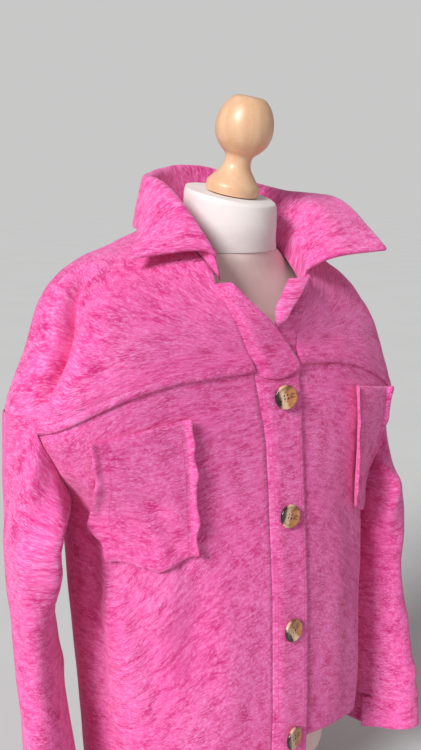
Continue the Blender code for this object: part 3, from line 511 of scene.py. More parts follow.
@dataclass(frozen=True)
class CollarSurface:
    """The collar as places (round the neck from the right front, from neck seam to free edge)."""

    first: float = -1.50
    last: float = 1.50
    clear: float = 0.0030
    thickness: float = 0.0050
    # where its lower edge ends inside the neck line, and how that runs down and inwards
    tuck: float = -0.048
    tuck_metres: float = 0.1
    tuck_drop: float = 1.1
    deeper: float = 4.0
    relief: float = 0.0007
    place_metres: float = 0.16
    across_metres: float = 0.08
    # place; roll and free edge measured from the neck seam
    rows: Table = (
        (-1.50, -0.012, 0.010, 0.025, -0.085, 0.036, 0.018),
        (-1.25, -0.011, 0.006, 0.038, -0.050, 0.021, 0.003),
        (-1.00, -0.005, 0.003, 0.049, -0.020, 0.007, 0.000),
        (-0.50, 0.000, 0.008, 0.046, -0.003, 0.023, 0.001),
        (0.00, -0.001, 0.013, 0.044, 0.004, 0.036, -0.002),
        (0.50, 0.014, 0.008, 0.041, 0.046, 0.026, 0.016),
        (1.00, 0.030, -0.003, 0.034, 0.082, 0.003, 0.034),
        (1.35, 0.039, -0.011, 0.022, 0.094, -0.003, 0.027),
        (1.50, 0.028, -0.014, 0.014, 0.095, -0.028, 0.020),
    )

    def bare(self, place: Grid, across: Grid) -> Grid:
        """Give points of the collar's outer side, without its thickness.

        Args:
            place: round the neck.
            across: 0 at the seam, 1 at the free edge, below 0 tucked inside the neck line.

        Returns:
            Points in metres.
        """
        turn = np.where(place < 0, -(2 - np.abs(place)), 2 - np.abs(place))
        seam = BODY.bare(turn, np.full(np.shape(place), BODY.neck_level)) + (0, 0, self.clear)
        roll_x, roll_y, roll_z, edge_x, edge_y, edge_z = by_key(self.rows, place)
        roll = seam + np.stack((roll_x, roll_y, roll_z), -1)
        edge = seam + np.stack((edge_x, edge_y, edge_z), -1)
        knee = (8 * roll - seam - edge) / 6
        q = across[..., None]
        tuck, q = np.minimum(q, 0.0), np.maximum(q, 0.0)
        depth = 1 + self.deeper * smooth(place, 0.9, 1.3)[..., None]
        inwards = unit(seam * (1, 1, 0)) + np.array((0, 0, self.tuck_drop)) * depth
        seam = seam + tuck * inwards * self.tuck_metres
        return (seam * (1 - q)**3 + knee * 3 * (q * (1 - q)**2 + q * q * (1 - q)) + edge * q**3)

    def cloth(self, place: Grid, across: Grid, lift: Grid | float) -> Grid:
        """Give points of the collar, moved towards its inner, upper side by lift.

        Args:
            place: round the neck.
            across: 0 at the seam, 1 at the free edge.
            lift: metres.

        Returns:
            Points in metres.
        """
        place, across = np.broadcast_arrays(np.asarray(place, float), np.asarray(across, float))
        step = 1e-3
        inner = np.clip(across, step, 1 - step)
        normal = unit(np.cross(self.bare(place + step, inner) - self.bare(place - step, inner),
                               self.bare(place, inner + step) - self.bare(place, inner - step)))
        waved = (self.relief * ripple(place * self.place_metres, across * self.across_metres,
                                      0.05, 5) * smooth(across, 0.1, 0.5))
        return self.bare(place, across) + normal * (lift + waved)[..., None]


COLLAR = CollarSurface()


# ---- shader trees ---------------------------------------------------------------------------
class Nodes:
    """A short hand for building a node tree."""

    def __init__(self, tree: bpy.types.NodeTree) -> None:
        """Keep the tree."""
        self.tree = tree

    def add(self, kind: str, inputs: dict | None = None, **props: object) -> bpy.types.Node:
        """Add a node.

        Args:
            kind: the node's type.
            inputs: values or sockets by input name or number.
            props: settings of the node.

        Returns:
            The node.
        """
        node = self.tree.nodes.new(kind)
        for key, value in props.items():
            setattr(node, key, value)
        for key, value in (inputs or {}).items():
            socket = node.inputs[key]
            if isinstance(value, bpy.types.NodeSocket):
                self.tree.links.new(value, socket)
            else:
                socket.default_value = value
        return node

    def noise(self, vector: object, scale: float, detail: float = 2.0,
              rough: float = 0.55) -> bpy.types.NodeSocket:
        """Add a noise pattern.

        Args:
            vector: the coordinates' socket.
            scale: swells per unit.
            detail: octaves.
            rough: how strong the fine octaves are.

        Returns:
            The value from about 0.2 to 0.8.
        """
        node = self.add("ShaderNodeTexNoise", {"Vector": vector, "Scale": scale,
                                               "Detail": detail, "Roughness": rough})
        return node.outputs["Fac"]

    def spread(self, value: object, low: float, high: float, to_low: float = 0.0,
               to_high: float = 1.0) -> bpy.types.NodeSocket:
        """Stretch a value smoothly from one range to another.

        Args:
            value: the socket.
            low: start of the range.
            high: end of the range.
            to_low: result at low.
            to_high: result at high.

        Returns:
            The stretched value.
        """
        node = self.add("ShaderNodeMapRange",
                        {"Value": value, "From Min": low, "From Max": high, "To Min": to_low,
                         "To Max": to_high}, interpolation_type="SMOOTHSTEP")
        return node.outputs["Result"]

    def mix(self, factor: object, first: object, second: object) -> bpy.types.NodeSocket:
        """Mix two colours."""
        node = self.add("ShaderNodeMix", {0: factor, 6: first, 7: second}, data_type="RGBA")
        return node.outputs[2]

    def maths(self, operation: str, first: object, second: object = 0.0) -> bpy.types.NodeSocket:
        """Work with two numbers."""
        return self.add("ShaderNodeMath", {0: first, 1: second}, operation=operation).outputs[0]

    def plus(self, first: object, second: object) -> bpy.types.NodeSocket:
        """Add two vectors."""
        return self.add("ShaderNodeVectorMath", {0: first, 1: second},
                        operation="ADD").outputs[0]

    def stretch(self, vector: object, factors: Sequence[float]) -> bpy.types.NodeSocket:
        """Multiply coordinates by three factors."""
        node = self.add("ShaderNodeVectorMath", {0: vector, 1: tuple(factors)},
                        operation="MULTIPLY")
        return node.outputs[0]


def linear(colour: Sequence[int]) -> tuple[float, float, float, float]:
    """Turn a screen colour of 0 to 255 into the shader's own linear scale."""
    parts = [c / 255 for c in colour]
    return (*(p / 12.92 if p <= 0.04045 else ((p + 0.055) / 1.055)**2.4 for p in parts), 1.0)


def new_group(name: str, wanted: dict[str, str],
              given: dict[str, str]) -> tuple[Nodes, bpy.types.Node, bpy.types.Node]:
    """Start a shader node group.

    Args:
        name: the group's name.
        wanted: its inputs' names and socket types.
        given: its outputs' names and socket types.

    Returns:
        The nodes, the group's input node and its output node.
    """
    tree = bpy.data.node_groups.new(name, "ShaderNodeTree")
    for label, kind in wanted.items():
        tree.interface.new_socket(label, in_out="INPUT", socket_type=f"NodeSocket{kind}")
    for label, kind in given.items():
        tree.interface.new_socket(label, in_out="OUTPUT", socket_type=f"NodeSocket{kind}")
    nodes = Nodes(tree)
    return nodes, nodes.add("NodeGroupInput"), nodes.add("NodeGroupOutput")


def heather_group() -> bpy.types.NodeTree:
    """Build the look of brushed, heathered wool: streaks of three dyed tones along the nap.

    Returns:
        The group.
    """
    nodes, given, result = new_group(
        "heathered_nap",
        {"Place": "Vector", "Drift": "Vector", "Light": "Color", "Middle": "Color",
         "Deep": "Color"},
        {"Colour": "Color", "Height": "Float"})
    place, drift = given.outputs["Place"], given.outputs["Drift"]
    wander = nodes.noise(drift, 60.0, 2.0)
    shift = nodes.add("ShaderNodeCombineXYZ", {"Y": nodes.maths("MULTIPLY", wander, 1.6)})
    waved = nodes.plus(place, shift.outputs[0])
    fine = nodes.noise(waved, 1.0, 3.0, 0.66)
    broad = nodes.noise(waved, 0.30, 2.0)
    cloud = nodes.noise(drift, 48.0, 3.0, 0.5)
    patch = nodes.noise(drift, 9.0, 1.0)
    depth = nodes.maths("ADD", nodes.maths("MULTIPLY", cloud, 0.6),
                        nodes.maths("MULTIPLY", broad, 0.4))
    base = nodes.mix(nodes.spread(depth, 0.30, 0.62), given.outputs["Deep"],
                     given.outputs["Middle"])
    lit = nodes.maths("ADD", nodes.maths("MULTIPLY", fine, 0.62),
                      nodes.maths("ADD", nodes.maths("MULTIPLY", broad, 0.22),
                                  nodes.maths("MULTIPLY", patch, 0.16)))
    colour = nodes.mix(nodes.spread(lit, 0.42, 0.68, 0.0, 0.8), base, given.outputs["Light"])
    nodes.tree.links.new(colour, result.inputs["Colour"])
    nodes.tree.links.new(nodes.maths("ADD", nodes.maths("MULTIPLY", fine, 0.6),
                                     nodes.maths("MULTIPLY", cloud, 0.4)),
                         result.inputs["Height"])
    return nodes.tree


def weave_group() -> bpy.types.NodeTree:
    """Build the look of a plain woven or knitted cover: crossing threads and slight clouding.

    Returns:
        The group.
    """
    nodes, given, result = new_group(
        "fine_weave", {"Place": "Vector", "Threads": "Float", "Tint": "Color", "Shade": "Color"},
        {"Colour": "Color", "Height": "Float"})
    scaled = nodes.add("ShaderNodeVectorMath",
                       {0: given.outputs["Place"], "Scale": given.outputs["Threads"]},
                       operation="SCALE").outputs[0]
    parts = nodes.add("ShaderNodeSeparateXYZ", {0: scaled})
    ribs = [nodes.maths("SINE", parts.outputs[k]) for k in (0, 1, 2)]
    threads = nodes.maths("ADD", nodes.maths("MULTIPLY", ribs[0], ribs[1]), ribs[2])
    cloud = nodes.noise(given.outputs["Place"], 24.0, 3.0)
    colour = nodes.mix(nodes.spread(cloud, 0.35, 0.65), given.outputs["Shade"],
                       given.outputs["Tint"])
    nodes.tree.links.new(colour, result.inputs["Colour"])
    nodes.tree.links.new(threads, result.inputs["Height"])
    return nodes.tree


class Finish:
    """What every finish shares: a material with one Principled shader."""

    name: str
    roughness: float = 0.5

    def material(self) -> bpy.types.Material:
        """Make the material."""
        material = bpy.data.materials.new(self.name)
        material.use_nodes = True
        nodes = Nodes(material.node_tree)
        shader = material.node_tree.nodes["Principled BSDF"]
        for label, value in {"Roughness": self.roughness, **self.settings()}.items():
            shader.inputs[label].default_value = value
        nodes.tree.links.new(self.colours(nodes, shader), shader.inputs["Base Color"])
        return material

    def settings(self) -> dict[str, object]:
        """Give further constants of the shader by input name."""
        return {}

    def colours(self, nodes: Nodes, shader: bpy.types.Node) -> bpy.types.NodeSocket:
        """Build the colour, and any relief, and give the colour's socket."""
        raise NotImplementedError

    def emboss(self, nodes: Nodes, shader: bpy.types.Node, height: object, strength: float,
               distance: float) -> None:
        """Feed a height into the shader's normal.

        Args:
            nodes: the tree.
            shader: the Principled shader.
            height: the height's socket.
            strength: 0 to 1.
            distance: metres from 0 to 1 of height.
        """
        bump = nodes.add("ShaderNodeBump", {"Strength": strength, "Distance": distance,
                                            "Height": height})
        nodes.tree.links.new(bump.outputs["Normal"], shader.inputs["Normal"])


class Nap(Enum):
    """Which way the brushed fibres run: streaks to the metre along a piece's width and length."""

    ACROSS = (230.0, 640.0)
    UPWARD = (560.0, 190.0)


@dataclass(frozen=True)
class WoolFinish(Finish):
    """Brushed wool, read on the piece's own cloth coordinates in metres."""

    name: str
    nap: Nap
    group: bpy.types.NodeTree
    light: Tone = (252, 158, 214)
    middle: Tone = (238, 88, 164)
    deep: Tone = (206, 28, 116)
    sheen: Tone = (255, 186, 224)
    roughness: float = 0.95

    def settings(self) -> dict[str, object]:
        """Give the sheen of the raised nap."""
        return {"Sheen Weight": 0.42, "Sheen Roughness": 0.55, "Sheen Tint": linear(self.sheen),
                "Specular IOR Level": 0.15}

    def colours(self, nodes: Nodes, shader: bpy.types.Node) -> bpy.types.NodeSocket:
        """Run the streaks along the nap."""
        place = nodes.add("ShaderNodeUVMap", uv_map="cloth").outputs[0]
        wool = nodes.add("ShaderNodeGroup", node_tree=self.group)
        nodes.tree.links.new(nodes.stretch(place, (*self.nap.value, 1.0)), wool.inputs["Place"])
        nodes.tree.links.new(place, wool.inputs["Drift"])
        for label, tone in (("Light", self.light), ("Middle", self.middle), ("Deep", self.deep)):
            wool.inputs[label].default_value = linear(tone)
        self.emboss(nodes, shader, wool.outputs["Height"], 0.6, 0.0005)
        return wool.outputs["Colour"]


@dataclass(frozen=True)
class FibreFinish(Finish):
    """Single wool fibres, each with its own tone."""

    name: str
    light: Tone = (248, 146, 204)
    middle: Tone = (240, 108, 176)
    deep: Tone = (222, 60, 144)
    roughness: float = 0.8

    def settings(self) -> dict[str, object]:
        """Keep the fibres dull."""
        return {"Specular IOR Level": 0.2}

    def colours(self, nodes: Nodes, shader: bpy.types.Node) -> bpy.types.NodeSocket:
        """Pick a tone for each fibre."""
        tone = nodes.add("ShaderNodeAttribute", attribute_name="tone").outputs["Fac"]
        lower = nodes.mix(nodes.spread(tone, 0.0, 0.45), linear(self.deep), linear(self.middle))
        return nodes.mix(nodes.spread(tone, 0.35, 0.95), lower, linear(self.light))


@dataclass(frozen=True)
class WeaveFinish(Finish):
    """A smooth woven or knitted cover."""

    name: str
    group: bpy.types.NodeTree
    tint: Tone
    shade: Tone
    threads: float = 5200.0
    roughness: float = 0.85

    def settings(self) -> dict[str, object]:
        """Give the slight sheen of the cover."""
        return {"Sheen Weight": 0.15}

    def colours(self, nodes: Nodes, shader: bpy.types.Node) -> bpy.types.NodeSocket:
        """Read the weave at the object's own places."""
        place = nodes.add("ShaderNodeTexCoord").outputs["Object"]
        weave = nodes.add("ShaderNodeGroup", node_tree=self.group)
        nodes.tree.links.new(place, weave.inputs["Place"])
        for label, value in (("Threads", self.threads), ("Tint", linear(self.tint)),
                             ("Shade", linear(self.shade))):
            weave.inputs[label].default_value = value
        self.emboss(nodes, shader, weave.outputs["Height"], 0.25, 0.0002)
        return weave.outputs["Colour"]


@dataclass(frozen=True)
class HornFinish(Finish):
    """Horn-look resin: a dark rim on one side, a cream patch and amber swirls."""

    name: str = "horn_resin"
    dark: Tone = (44, 20, 14)
    cream: Tone = (222, 184, 150)
    brown: Tone = (120, 66, 36)
    amber: Tone = (184, 118, 72)
    roughness: float = 0.22

    def settings(self) -> dict[str, object]:
        """Polish the resin."""
        return {"Coat Weight": 0.5, "Coat Roughness": 0.12}

    def colours(self, nodes: Nodes, shader: bpy.types.Node) -> bpy.types.NodeSocket:
        """Bend the button's own coordinates and cut them into dark, cream and amber."""
        local = nodes.add("ShaderNodeAttribute", attribute_name="local").outputs["Vector"]
        swirl = nodes.noise(local, 2.0, 3.0, 0.6)
        aside = nodes.add("ShaderNodeCombineXYZ", {"X": nodes.maths("MULTIPLY", swirl, 1.1),
                                                   "Y": nodes.maths("MULTIPLY", swirl, 0.5)})
        bent = nodes.plus(local, aside.outputs[0])
        across = nodes.add("ShaderNodeSeparateXYZ", {0: bent}).outputs[0]
        band = nodes.noise(nodes.stretch(bent, (0.9, 3.4, 1.0)), 1.6, 2.0)
        amber = nodes.mix(nodes.spread(band, 0.36, 0.62), linear(self.brown), linear(self.amber))
        beyond = nodes.spread(nodes.maths("ADD", across, band), 0.85, 1.30)
        pale = nodes.mix(beyond, linear(self.cream), amber)
        return nodes.mix(nodes.spread(across, -0.15, 0.12), linear(self.dark), pale)


@dataclass(frozen=True)
class BeechFinish(Finish):
    """Turned beech with fine flecks up the piece."""

    name: str = "turned_beech"
    body: tuple[Tone, Tone] = ((222, 172, 134), (230, 184, 148))
    lines: Tone = (206, 150, 108)
    flecks: Tone = (190, 130, 90)
    roughness: float = 0.42

    def settings(self) -> dict[str, object]:
        """Varnish the wood thinly."""
        return {"Coat Weight": 0.25, "Coat Roughness": 0.3}

    def colours(self, nodes: Nodes, shader: bpy.types.Node) -> bpy.types.NodeSocket:
        """Draw rings, lines and flecks out along the grain."""
        place = nodes.add("ShaderNodeTexCoord").outputs["Object"]
        grain = nodes.noise(nodes.stretch(place, (1.0, 1.0, 0.09)), 420.0, 3.0, 0.6)
        rings = nodes.noise(nodes.stretch(place, (1.0, 1.0, 0.05)), 90.0, 2.0)
        fleck = nodes.noise(nodes.stretch(place, (1.0, 1.0, 0.22)), 900.0, 1.0)
        body = nodes.mix(nodes.spread(rings, 0.35, 0.65), *map(linear, self.body))
        lined = nodes.mix(nodes.spread(grain, 0.52, 0.76, 0.0, 0.3), body, linear(self.lines))
        self.emboss(nodes, shader, grain, 0.15, 0.0003)
        return nodes.mix(nodes.spread(fleck, 0.60, 0.74, 0.0, 0.3), lined, linear(self.flecks))


@dataclass(frozen=True)
class PlainFinish(Finish):
    """A painted, dyed or plain surface with slight clouding."""

    name: str
    colour: Tone
    other: Tone
    roughness: float
    grain: float = 300.0
    metallic: float = 0.0

    def settings(self) -> dict[str, object]:
        """Say how metallic it is."""
        return {"Metallic": self.metallic}

    def colours(self, nodes: Nodes, shader: bpy.types.Node) -> bpy.types.NodeSocket:
        """Cloud one tone with the other."""
        place = nodes.add("ShaderNodeTexCoord").outputs["Object"]
        cloud = nodes.noise(place, self.grain, 3.0)
        self.emboss(nodes, shader, cloud, 0.1, 0.0002)
        return nodes.mix(nodes.spread(cloud, 0.35, 0.65), linear(self.colour), linear(self.other))


class Finishes:
    """All finishes of the piece, made once."""

    def __init__(self) -> None:
        """Build the shared groups and the materials."""
        heather, weave = heather_group(), weave_group()
        self.wool = WoolFinish("brushed_wool", Nap.ACROSS, heather).material()
        self.wool_upright = WoolFinish("brushed_wool_upright", Nap.UPWARD, heather).material()
        self.fibre = FibreFinish("wool_fibre").material()
        self.jersey = WeaveFinish("form_jersey", weave, (248, 220, 214),
                                  (242, 210, 204)).material()
        self.cotton = WeaveFinish("neck_cotton", weave, (246, 234, 231),
                                  (238, 224, 221)).material()
        self.horn = HornFinish().material()
        self.beech = BeechFinish().material()
        self.thread = PlainFinish("pink_thread", (214, 60, 140), (240, 110, 176), 0.7,
                                  900.0).material()
        self.paint = PlainFinish("stand_coat", (30, 30, 32), (42, 42, 45), 0.38, 700.0,
                                 0.3).material()
        self.floor = PlainFinish("studio_floor", (216, 213, 212), (218, 215, 214), 0.9,
                                 3.0).material()


# ---- mesh tools -----------------------------------------------------------------------------
def link(name: str, mesh: bpy.types.Mesh, material: bpy.types.Material) -> bpy.types.Object:
    """Put a mesh into the scene as a smooth object with one material.

    Args:
        name: the object's name.
        mesh: its mesh.
        material: its finish.

    Returns:
        The object.
    """
    mesh.shade_smooth()
    mesh.materials.clear()
    mesh.materials.append(material)
    thing = bpy.data.objects.new(name, mesh)
    bpy.context.scene.collection.objects.link(thing)
    return thing


def declare(piece: bpy.types.Object, slot: str, *nodes: str) -> None:
    """Attach a finished piece to the root body and hide the solids that it stands for."""
    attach(piece, "root")
    if nodes:
        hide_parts(*nodes)


@dataclass
class Wall:
    """A closed cloth wall between an outside and an inside grid, with a rounded rim."""

    name: str
    outside: Grid
    inside: Grid
    tube: bool = False
    rim_round: float = 0.0010

    def loops(self) -> list[tuple[Grid, Grid]]:
        """List the boundary loops: the vertices' numbers and those just inside them."""
        rows, columns = self.outside.shape[:2]
        number = np.arange(rows * columns).reshape(rows, columns)
        if self.tube:
            return [(number[0], number[1]), (number[-1][::-1], number[-2][::-1])]
        edge = np.concatenate((number[0, :-1], number[:-1, -1], number[-1, :0:-1],
                               number[:0:-1, 0]))
        inner = number[1:-1, 1:-1]
        row = np.clip(edge // columns, 1, rows - 2)
        column = np.clip(edge % columns, 1, columns - 2)
        return [(edge, inner[row - 1, column - 1])]

    def coordinates(self) -> Grid:
        """Measure the cloth coordinates of every grid point, in metres."""
        points = self.outside
        steps_u = np.linalg.norm(np.diff(points, axis=1), axis=-1).mean(0)
        steps_v = np.linalg.norm(np.diff(points, axis=0), axis=-1).mean(1)
        u = np.append(0.0, np.cumsum(steps_u))
        v = np.append(0.0, np.cumsum(steps_v))
        return np.stack(np.meshgrid(u, v), -1).reshape(-1, 2)

    def mesh(self) -> bpy.types.Mesh:
        """Build the closed mesh with its cloth coordinates."""
        rows, columns = self.outside.shape[:2]
        count = rows * columns
        out, back = self.outside.reshape(-1, 3), self.inside.reshape(-1, 3)
        verts, uv = [out, back], [self.coordinates()] * 2
        last = columns if self.tube else columns - 1
        i, j = np.meshgrid(np.arange(rows - 1), np.arange(last), indexing="ij")
        a, b = i * columns + j, i * columns + (j + 1) % columns
        quads = np.stack((a, b, b + columns, a + columns), -1).reshape(-1, 4)
        faces = [quads, quads[:, ::-1] + count]
        start = 2 * count
        for edge, inner in self.loops():
            middle = (out[edge] + back[edge]) / 2
            outward = unit(out[edge] - out[inner])
            verts.append(middle + outward * self.rim_round)
            uv.append(uv[0][edge])
            ring = start + np.arange(len(edge))
            after, edge_after = np.roll(ring, -1), np.roll(edge, -1)
            faces.append(np.stack((edge_after, edge, ring, after), -1))
            faces.append(np.stack((after, ring, edge + count, edge_after + count), -1))
            start += len(edge)
        points, places, polygons = np.concatenate(verts), np.concatenate(uv), np.concatenate(faces)
        mesh = bpy.data.meshes.new(self.name)
        mesh.from_pydata(points.tolist(), [], polygons.tolist())
        layer = mesh.uv_layers.new(name="cloth")
        layer.data.foreach_set("uv", places[polygons.reshape(-1)].astype(np.float32).reshape(-1))
        mesh.validate()
        shape = bmesh.new()
        shape.from_mesh(mesh)
        if shape.calc_volume(signed=True) < 0:
            bmesh.ops.reverse_faces(shape, faces=shape.faces)
        shape.to_mesh(mesh)
        shape.free()
        return mesh


def scatter_tree() -> bpy.types.NodeTree:
    """Build the Geometry Nodes tree that sets a small shape on every point.

    Each point's attributes aim (the shape's Z axis), lay (its X axis) and size place it. The
    tree's inputs are the shape, its finish, how uneven the lengths are and the seed.

    Returns:
        The tree.
    """
    tree = bpy.data.node_groups.new("set_on_points", "GeometryNodeTree")
    for label, kind in (("Geometry", "Geometry"), ("Shape", "Object"), ("Finish", "Material"),
                        ("Shortest", "Float"), ("Seed", "Int")):
        tree.interface.new_socket(label, in_out="INPUT", socket_type=f"NodeSocket{kind}")
    tree.interface.new_socket("Geometry", in_out="OUTPUT", socket_type="NodeSocketGeometry")
    nodes = Nodes(tree)
    given, result = nodes.add("NodeGroupInput"), nodes.add("NodeGroupOutput")

    def attribute(name: str) -> bpy.types.NodeSocket:
        """Read a point's vector attribute."""
        node = nodes.add("GeometryNodeInputNamedAttribute", {"Name": name},
                         data_type="FLOAT_VECTOR")
        return node.outputs[0]

    aimed = nodes.add("FunctionNodeAlignRotationToVector", {"Vector": attribute("aim")}, axis="Z")
    laid = nodes.add("FunctionNodeAlignRotationToVector",
                     {"Rotation": aimed.outputs[0], "Vector": attribute("lay")}, axis="X",
                     pivot_axis="Z")
    uneven = nodes.add("FunctionNodeRandomValue", {2: given.outputs["Shortest"], 3: 1.0,
                                                   "Seed": given.outputs["Seed"]},
                       data_type="FLOAT")
    size = nodes.add("ShaderNodeVectorMath", {0: attribute("size"), "Scale": uneven.outputs[1]},
                     operation="SCALE")
    shape = nodes.add("GeometryNodeObjectInfo", {"Object": given.outputs["Shape"]})
    placed = nodes.add("GeometryNodeInstanceOnPoints",
                       {"Points": given.outputs["Geometry"],
                        "Instance": shape.outputs["Geometry"], "Rotation": laid.outputs[0],
                        "Scale": size.outputs[0]})
    tone = nodes.add("FunctionNodeRandomValue", {2: 0.0, 3: 1.0, "Seed": given.outputs["Seed"]},
                     data_type="FLOAT")
    toned = nodes.add("GeometryNodeStoreNamedAttribute",
                      {"Geometry": placed.outputs[0], "Name": "tone",
                       "Value": tone.outputs[1]}, data_type="FLOAT", domain="INSTANCE")
    real = nodes.add("GeometryNodeRealizeInstances", {0: toned.outputs[0]})
    finished = nodes.add("GeometryNodeSetMaterial", {"Geometry": real.outputs[0],
                                                     "Material": given.outputs["Finish"]})
    tree.links.new(finished.outputs[0], result.inputs[0])
    return tree


class Scatter:
    """Sets small shapes, such as fibres and stitches, on points."""

    def __init__(self) -> None:
        """Build the tree and the small shapes."""
        self.tree = scatter_tree()
        self.fibre = self.shape("fibre_shape", [(1.0, 0.0, 0.0), (-0.5, 0.87, 0.0),
                                                (-0.5, -0.87, 0.0), (0.0, 0.0, 1.0)],
                                [(0, 2, 1), (0, 1, 3), (1, 2, 3), (2, 0, 3)])
        self.stitch = self.rounded_bar()

    def shape(self, name: str, verts: list, faces: list) -> bpy.types.Object:
        """Make a small hidden shape."""
        mesh = bpy.data.meshes.new(name)
        mesh.from_pydata(verts, [], faces)
        return bpy.data.objects.new(name, mesh)

    def rounded_bar(self) -> bpy.types.Object:
        """Make a bar along X, 2 long and 2 thick, with rounded ends."""
        profile = ((-1.0, 0.25), (-0.8, 0.8), (0.0, 1.0), (0.8, 0.8), (1.0, 0.25))
        verts, faces, sides = [], [], 6
        for x, radius in profile:
            for k in range(sides):
                spin = math.tau * k / sides
                verts.append((x, radius * math.cos(spin), radius * math.sin(spin)))
        for i in range(len(profile) - 1):
            for k in range(sides):
                n = (k + 1) % sides
                faces.append((i * sides + k, (i + 1) * sides + k, (i + 1) * sides + n,
                              i * sides + n))
        faces.append(tuple(range(sides)))
        faces.append(tuple(range(len(verts) - 1, len(verts) - 1 - sides, -1)))
        return self.shape("stitch_shape", verts, faces)

    def place(self, name: str, shape: bpy.types.Object, points: Grid, aim: Grid, lay: Grid,
              size: Grid, finish: bpy.types.Material, shortest: float,
              seed: int) -> bpy.types.Object:
        """Set a shape on points and return them as one plain mesh.

        Args:
            name: the new piece's name.
            shape: what is set there.
            points: where.
            aim: the shapes' Z axes.
            lay: the shapes' X axes.
            size: the shapes' scale along X, Y and Z.
            finish: their material.
            shortest: the least share of the full size.
            seed: for the sizes and tones.

        Returns:
            The new piece.
        """
        mesh = bpy.data.meshes.new(name)
        mesh.from_pydata(points.tolist(), [], [])
        for label, values in (("aim", aim), ("lay", lay), ("size", size)):
            layer = mesh.attributes.new(label, "FLOAT_VECTOR", "POINT")
            layer.data.foreach_set("vector", values.astype(np.float32).reshape(-1))
        thing = bpy.data.objects.new(name, mesh)
        collection = bpy.context.scene.collection.objects
        collection.link(thing)
        collection.link(shape)
        modifier = thing.modifiers.new("set_on_points", "NODES")
        modifier.node_group = self.tree
        values = {"Shape": shape, "Finish": finish, "Shortest": shortest, "Seed": seed}
        for item in self.tree.interface.items_tree:
            if item.in_out == "INPUT" and item.name in values:
                modifier[item.identifier] = values[item.name]
        bpy.context.view_layer.update()
        evaluated = thing.evaluated_get(bpy.context.evaluated_depsgraph_get())
        result = bpy.data.meshes.new_from_object(evaluated)
        thing.modifiers.clear()
        result.name = name
        thing.data = result
        collection.unlink(shape)
        return thing


@dataclass
class Fur:
    """The brushed nap on a grid of cloth: short fibres that lean one way."""

    scatter: Scatter
    finish: bpy.types.Material
    per_square_metre: float = 120000.0
    length: float = 0.0019
    half_width: float = 0.00012
    lean: float = 0.34
    edge_length: float = 0.0042

    def on_grid(self, grid: Grid, upward: bool, seed: int, flip: bool = False,
                density: float = 1.0) -> tuple[Grid, Grid, Grid]:
        """Pick places on a grid of cloth and the fibres' directions there.

        Args:
            grid: the outer surface.
            upward: whether the nap runs up the grid and not across it.
            seed: for the places.
            flip: whether the grid's normals point inwards.
            density: a share of the usual number.

        Returns:
            Points, directions and sizes.
        """
        rng = np.random.default_rng(seed)
        a, b = grid[:-1, :-1], grid[:-1, 1:]
        c, d = grid[1:, 1:], grid[1:, :-1]
        normal = np.cross(c - a, d - b)
        area = np.linalg.norm(normal, axis=-1) / 2
        count = int(area.sum() * self.per_square_metre * density)
        flat = rng.choice(area.size, count, p=(area / area.sum()).reshape(-1))
        i, j = np.unravel_index(flat, area.shape)
        u, v = rng.random((2, count, 1))
        point = (a[i, j] * (1 - u) * (1 - v) + b[i, j] * u * (1 - v) + c[i, j] * u * v
                 + d[i, j] * (1 - u) * v)
        out = unit(normal[i, j]) * (-1 if flip else 1)
        across, up = unit((b - a)[i, j]), unit((d - a)[i, j])
        run = up if upward else across
        run = run * rng.choice((-1.0, 1.0), (count, 1), p=(0.3, 0.7))
        other = across if upward else -up
        aim = unit(run + other * rng.normal(0.15, 0.6, (count, 1))
                   + out * (self.lean + rng.normal(0, 0.25, (count, 1))))
        size = np.stack((np.full(count, self.half_width),) * 2
                        + (self.length * rng.uniform(0.6, 1.15, count),), -1)
        return point - out * 0.0003, aim, size

    def on_edge(self, line: Grid, outward: Grid, seed: int,
                pitch: float = 0.0007) -> tuple[Grid, Grid, Grid]:
        """Pick places along a raw edge, with fibres that stand out of it.

        Args:
            line: points of the edge in order.
            outward: the way out of the cloth there.
            seed: for the places.
            pitch: the mean distance from fibre to fibre.

        Returns:
            Points, directions and sizes.
        """
        rng = np.random.default_rng(seed)
        step = np.linalg.norm(np.diff(line, axis=0), axis=1)
        count = int(step.sum() / pitch)
        place = rng.random(count) * step.sum()
        k = np.clip(np.searchsorted(np.cumsum(step), place), 0, len(step) - 1)
        t = rng.random((count, 1))
        point = line[k] * (1 - t) + line[k + 1] * t
        aim = unit(outward[k] + rng.normal(0, 0.42, (count, 3)))
        size = np.stack((np.full(count, self.half_width),) * 2
                        + (self.edge_length * rng.uniform(0.35, 0.85, count),), -1)
        return point, aim, size

    def grow(self, name: str, parts: list[tuple[Grid, Grid, Grid]], seed: int) -> bpy.types.Object:
        """Make one piece of all fibres.

        Args:
            name: its name.
            parts: points, directions and sizes.
            seed: for the tones.

        Returns:
            The piece.
        """
        points, aim, size = (np.concatenate(rows) for rows in zip(*parts))
        lay = np.cross(aim, np.roll(aim, 1, axis=1) + 0.01)
        piece = self.scatter.place(name, self.scatter.fibre, points, aim, lay, size, self.finish,
                                   0.75, seed)
        declare(piece, "pink_wool")
        LOG.info("%s: %d fibres", name, len(points))
        return piece


# ---- the jacket -----------------------------------------------------------------------------
@dataclass(frozen=True)
class Cut:
    """The flat size of a piece of cloth: width, length and area in metres."""

    width: float
    length: float
    area: float


@dataclass(frozen=True)
class PocketPlace:
    """Where a pocket lies: x of both sides at the bottom and top, z of both ends of its edges."""

    inner: tuple[float, float]
    outer: tuple[float, float]
    low: tuple[float, float]
    high: tuple[float, float]
    point: float = 0.016
    margin: float = 0.07
    wave_length: float = 0.030
    sway: float = 0.0016
    stand_off: float = 0.0036
    curl: float = 0.0050
    curl_wave: float = 0.0022


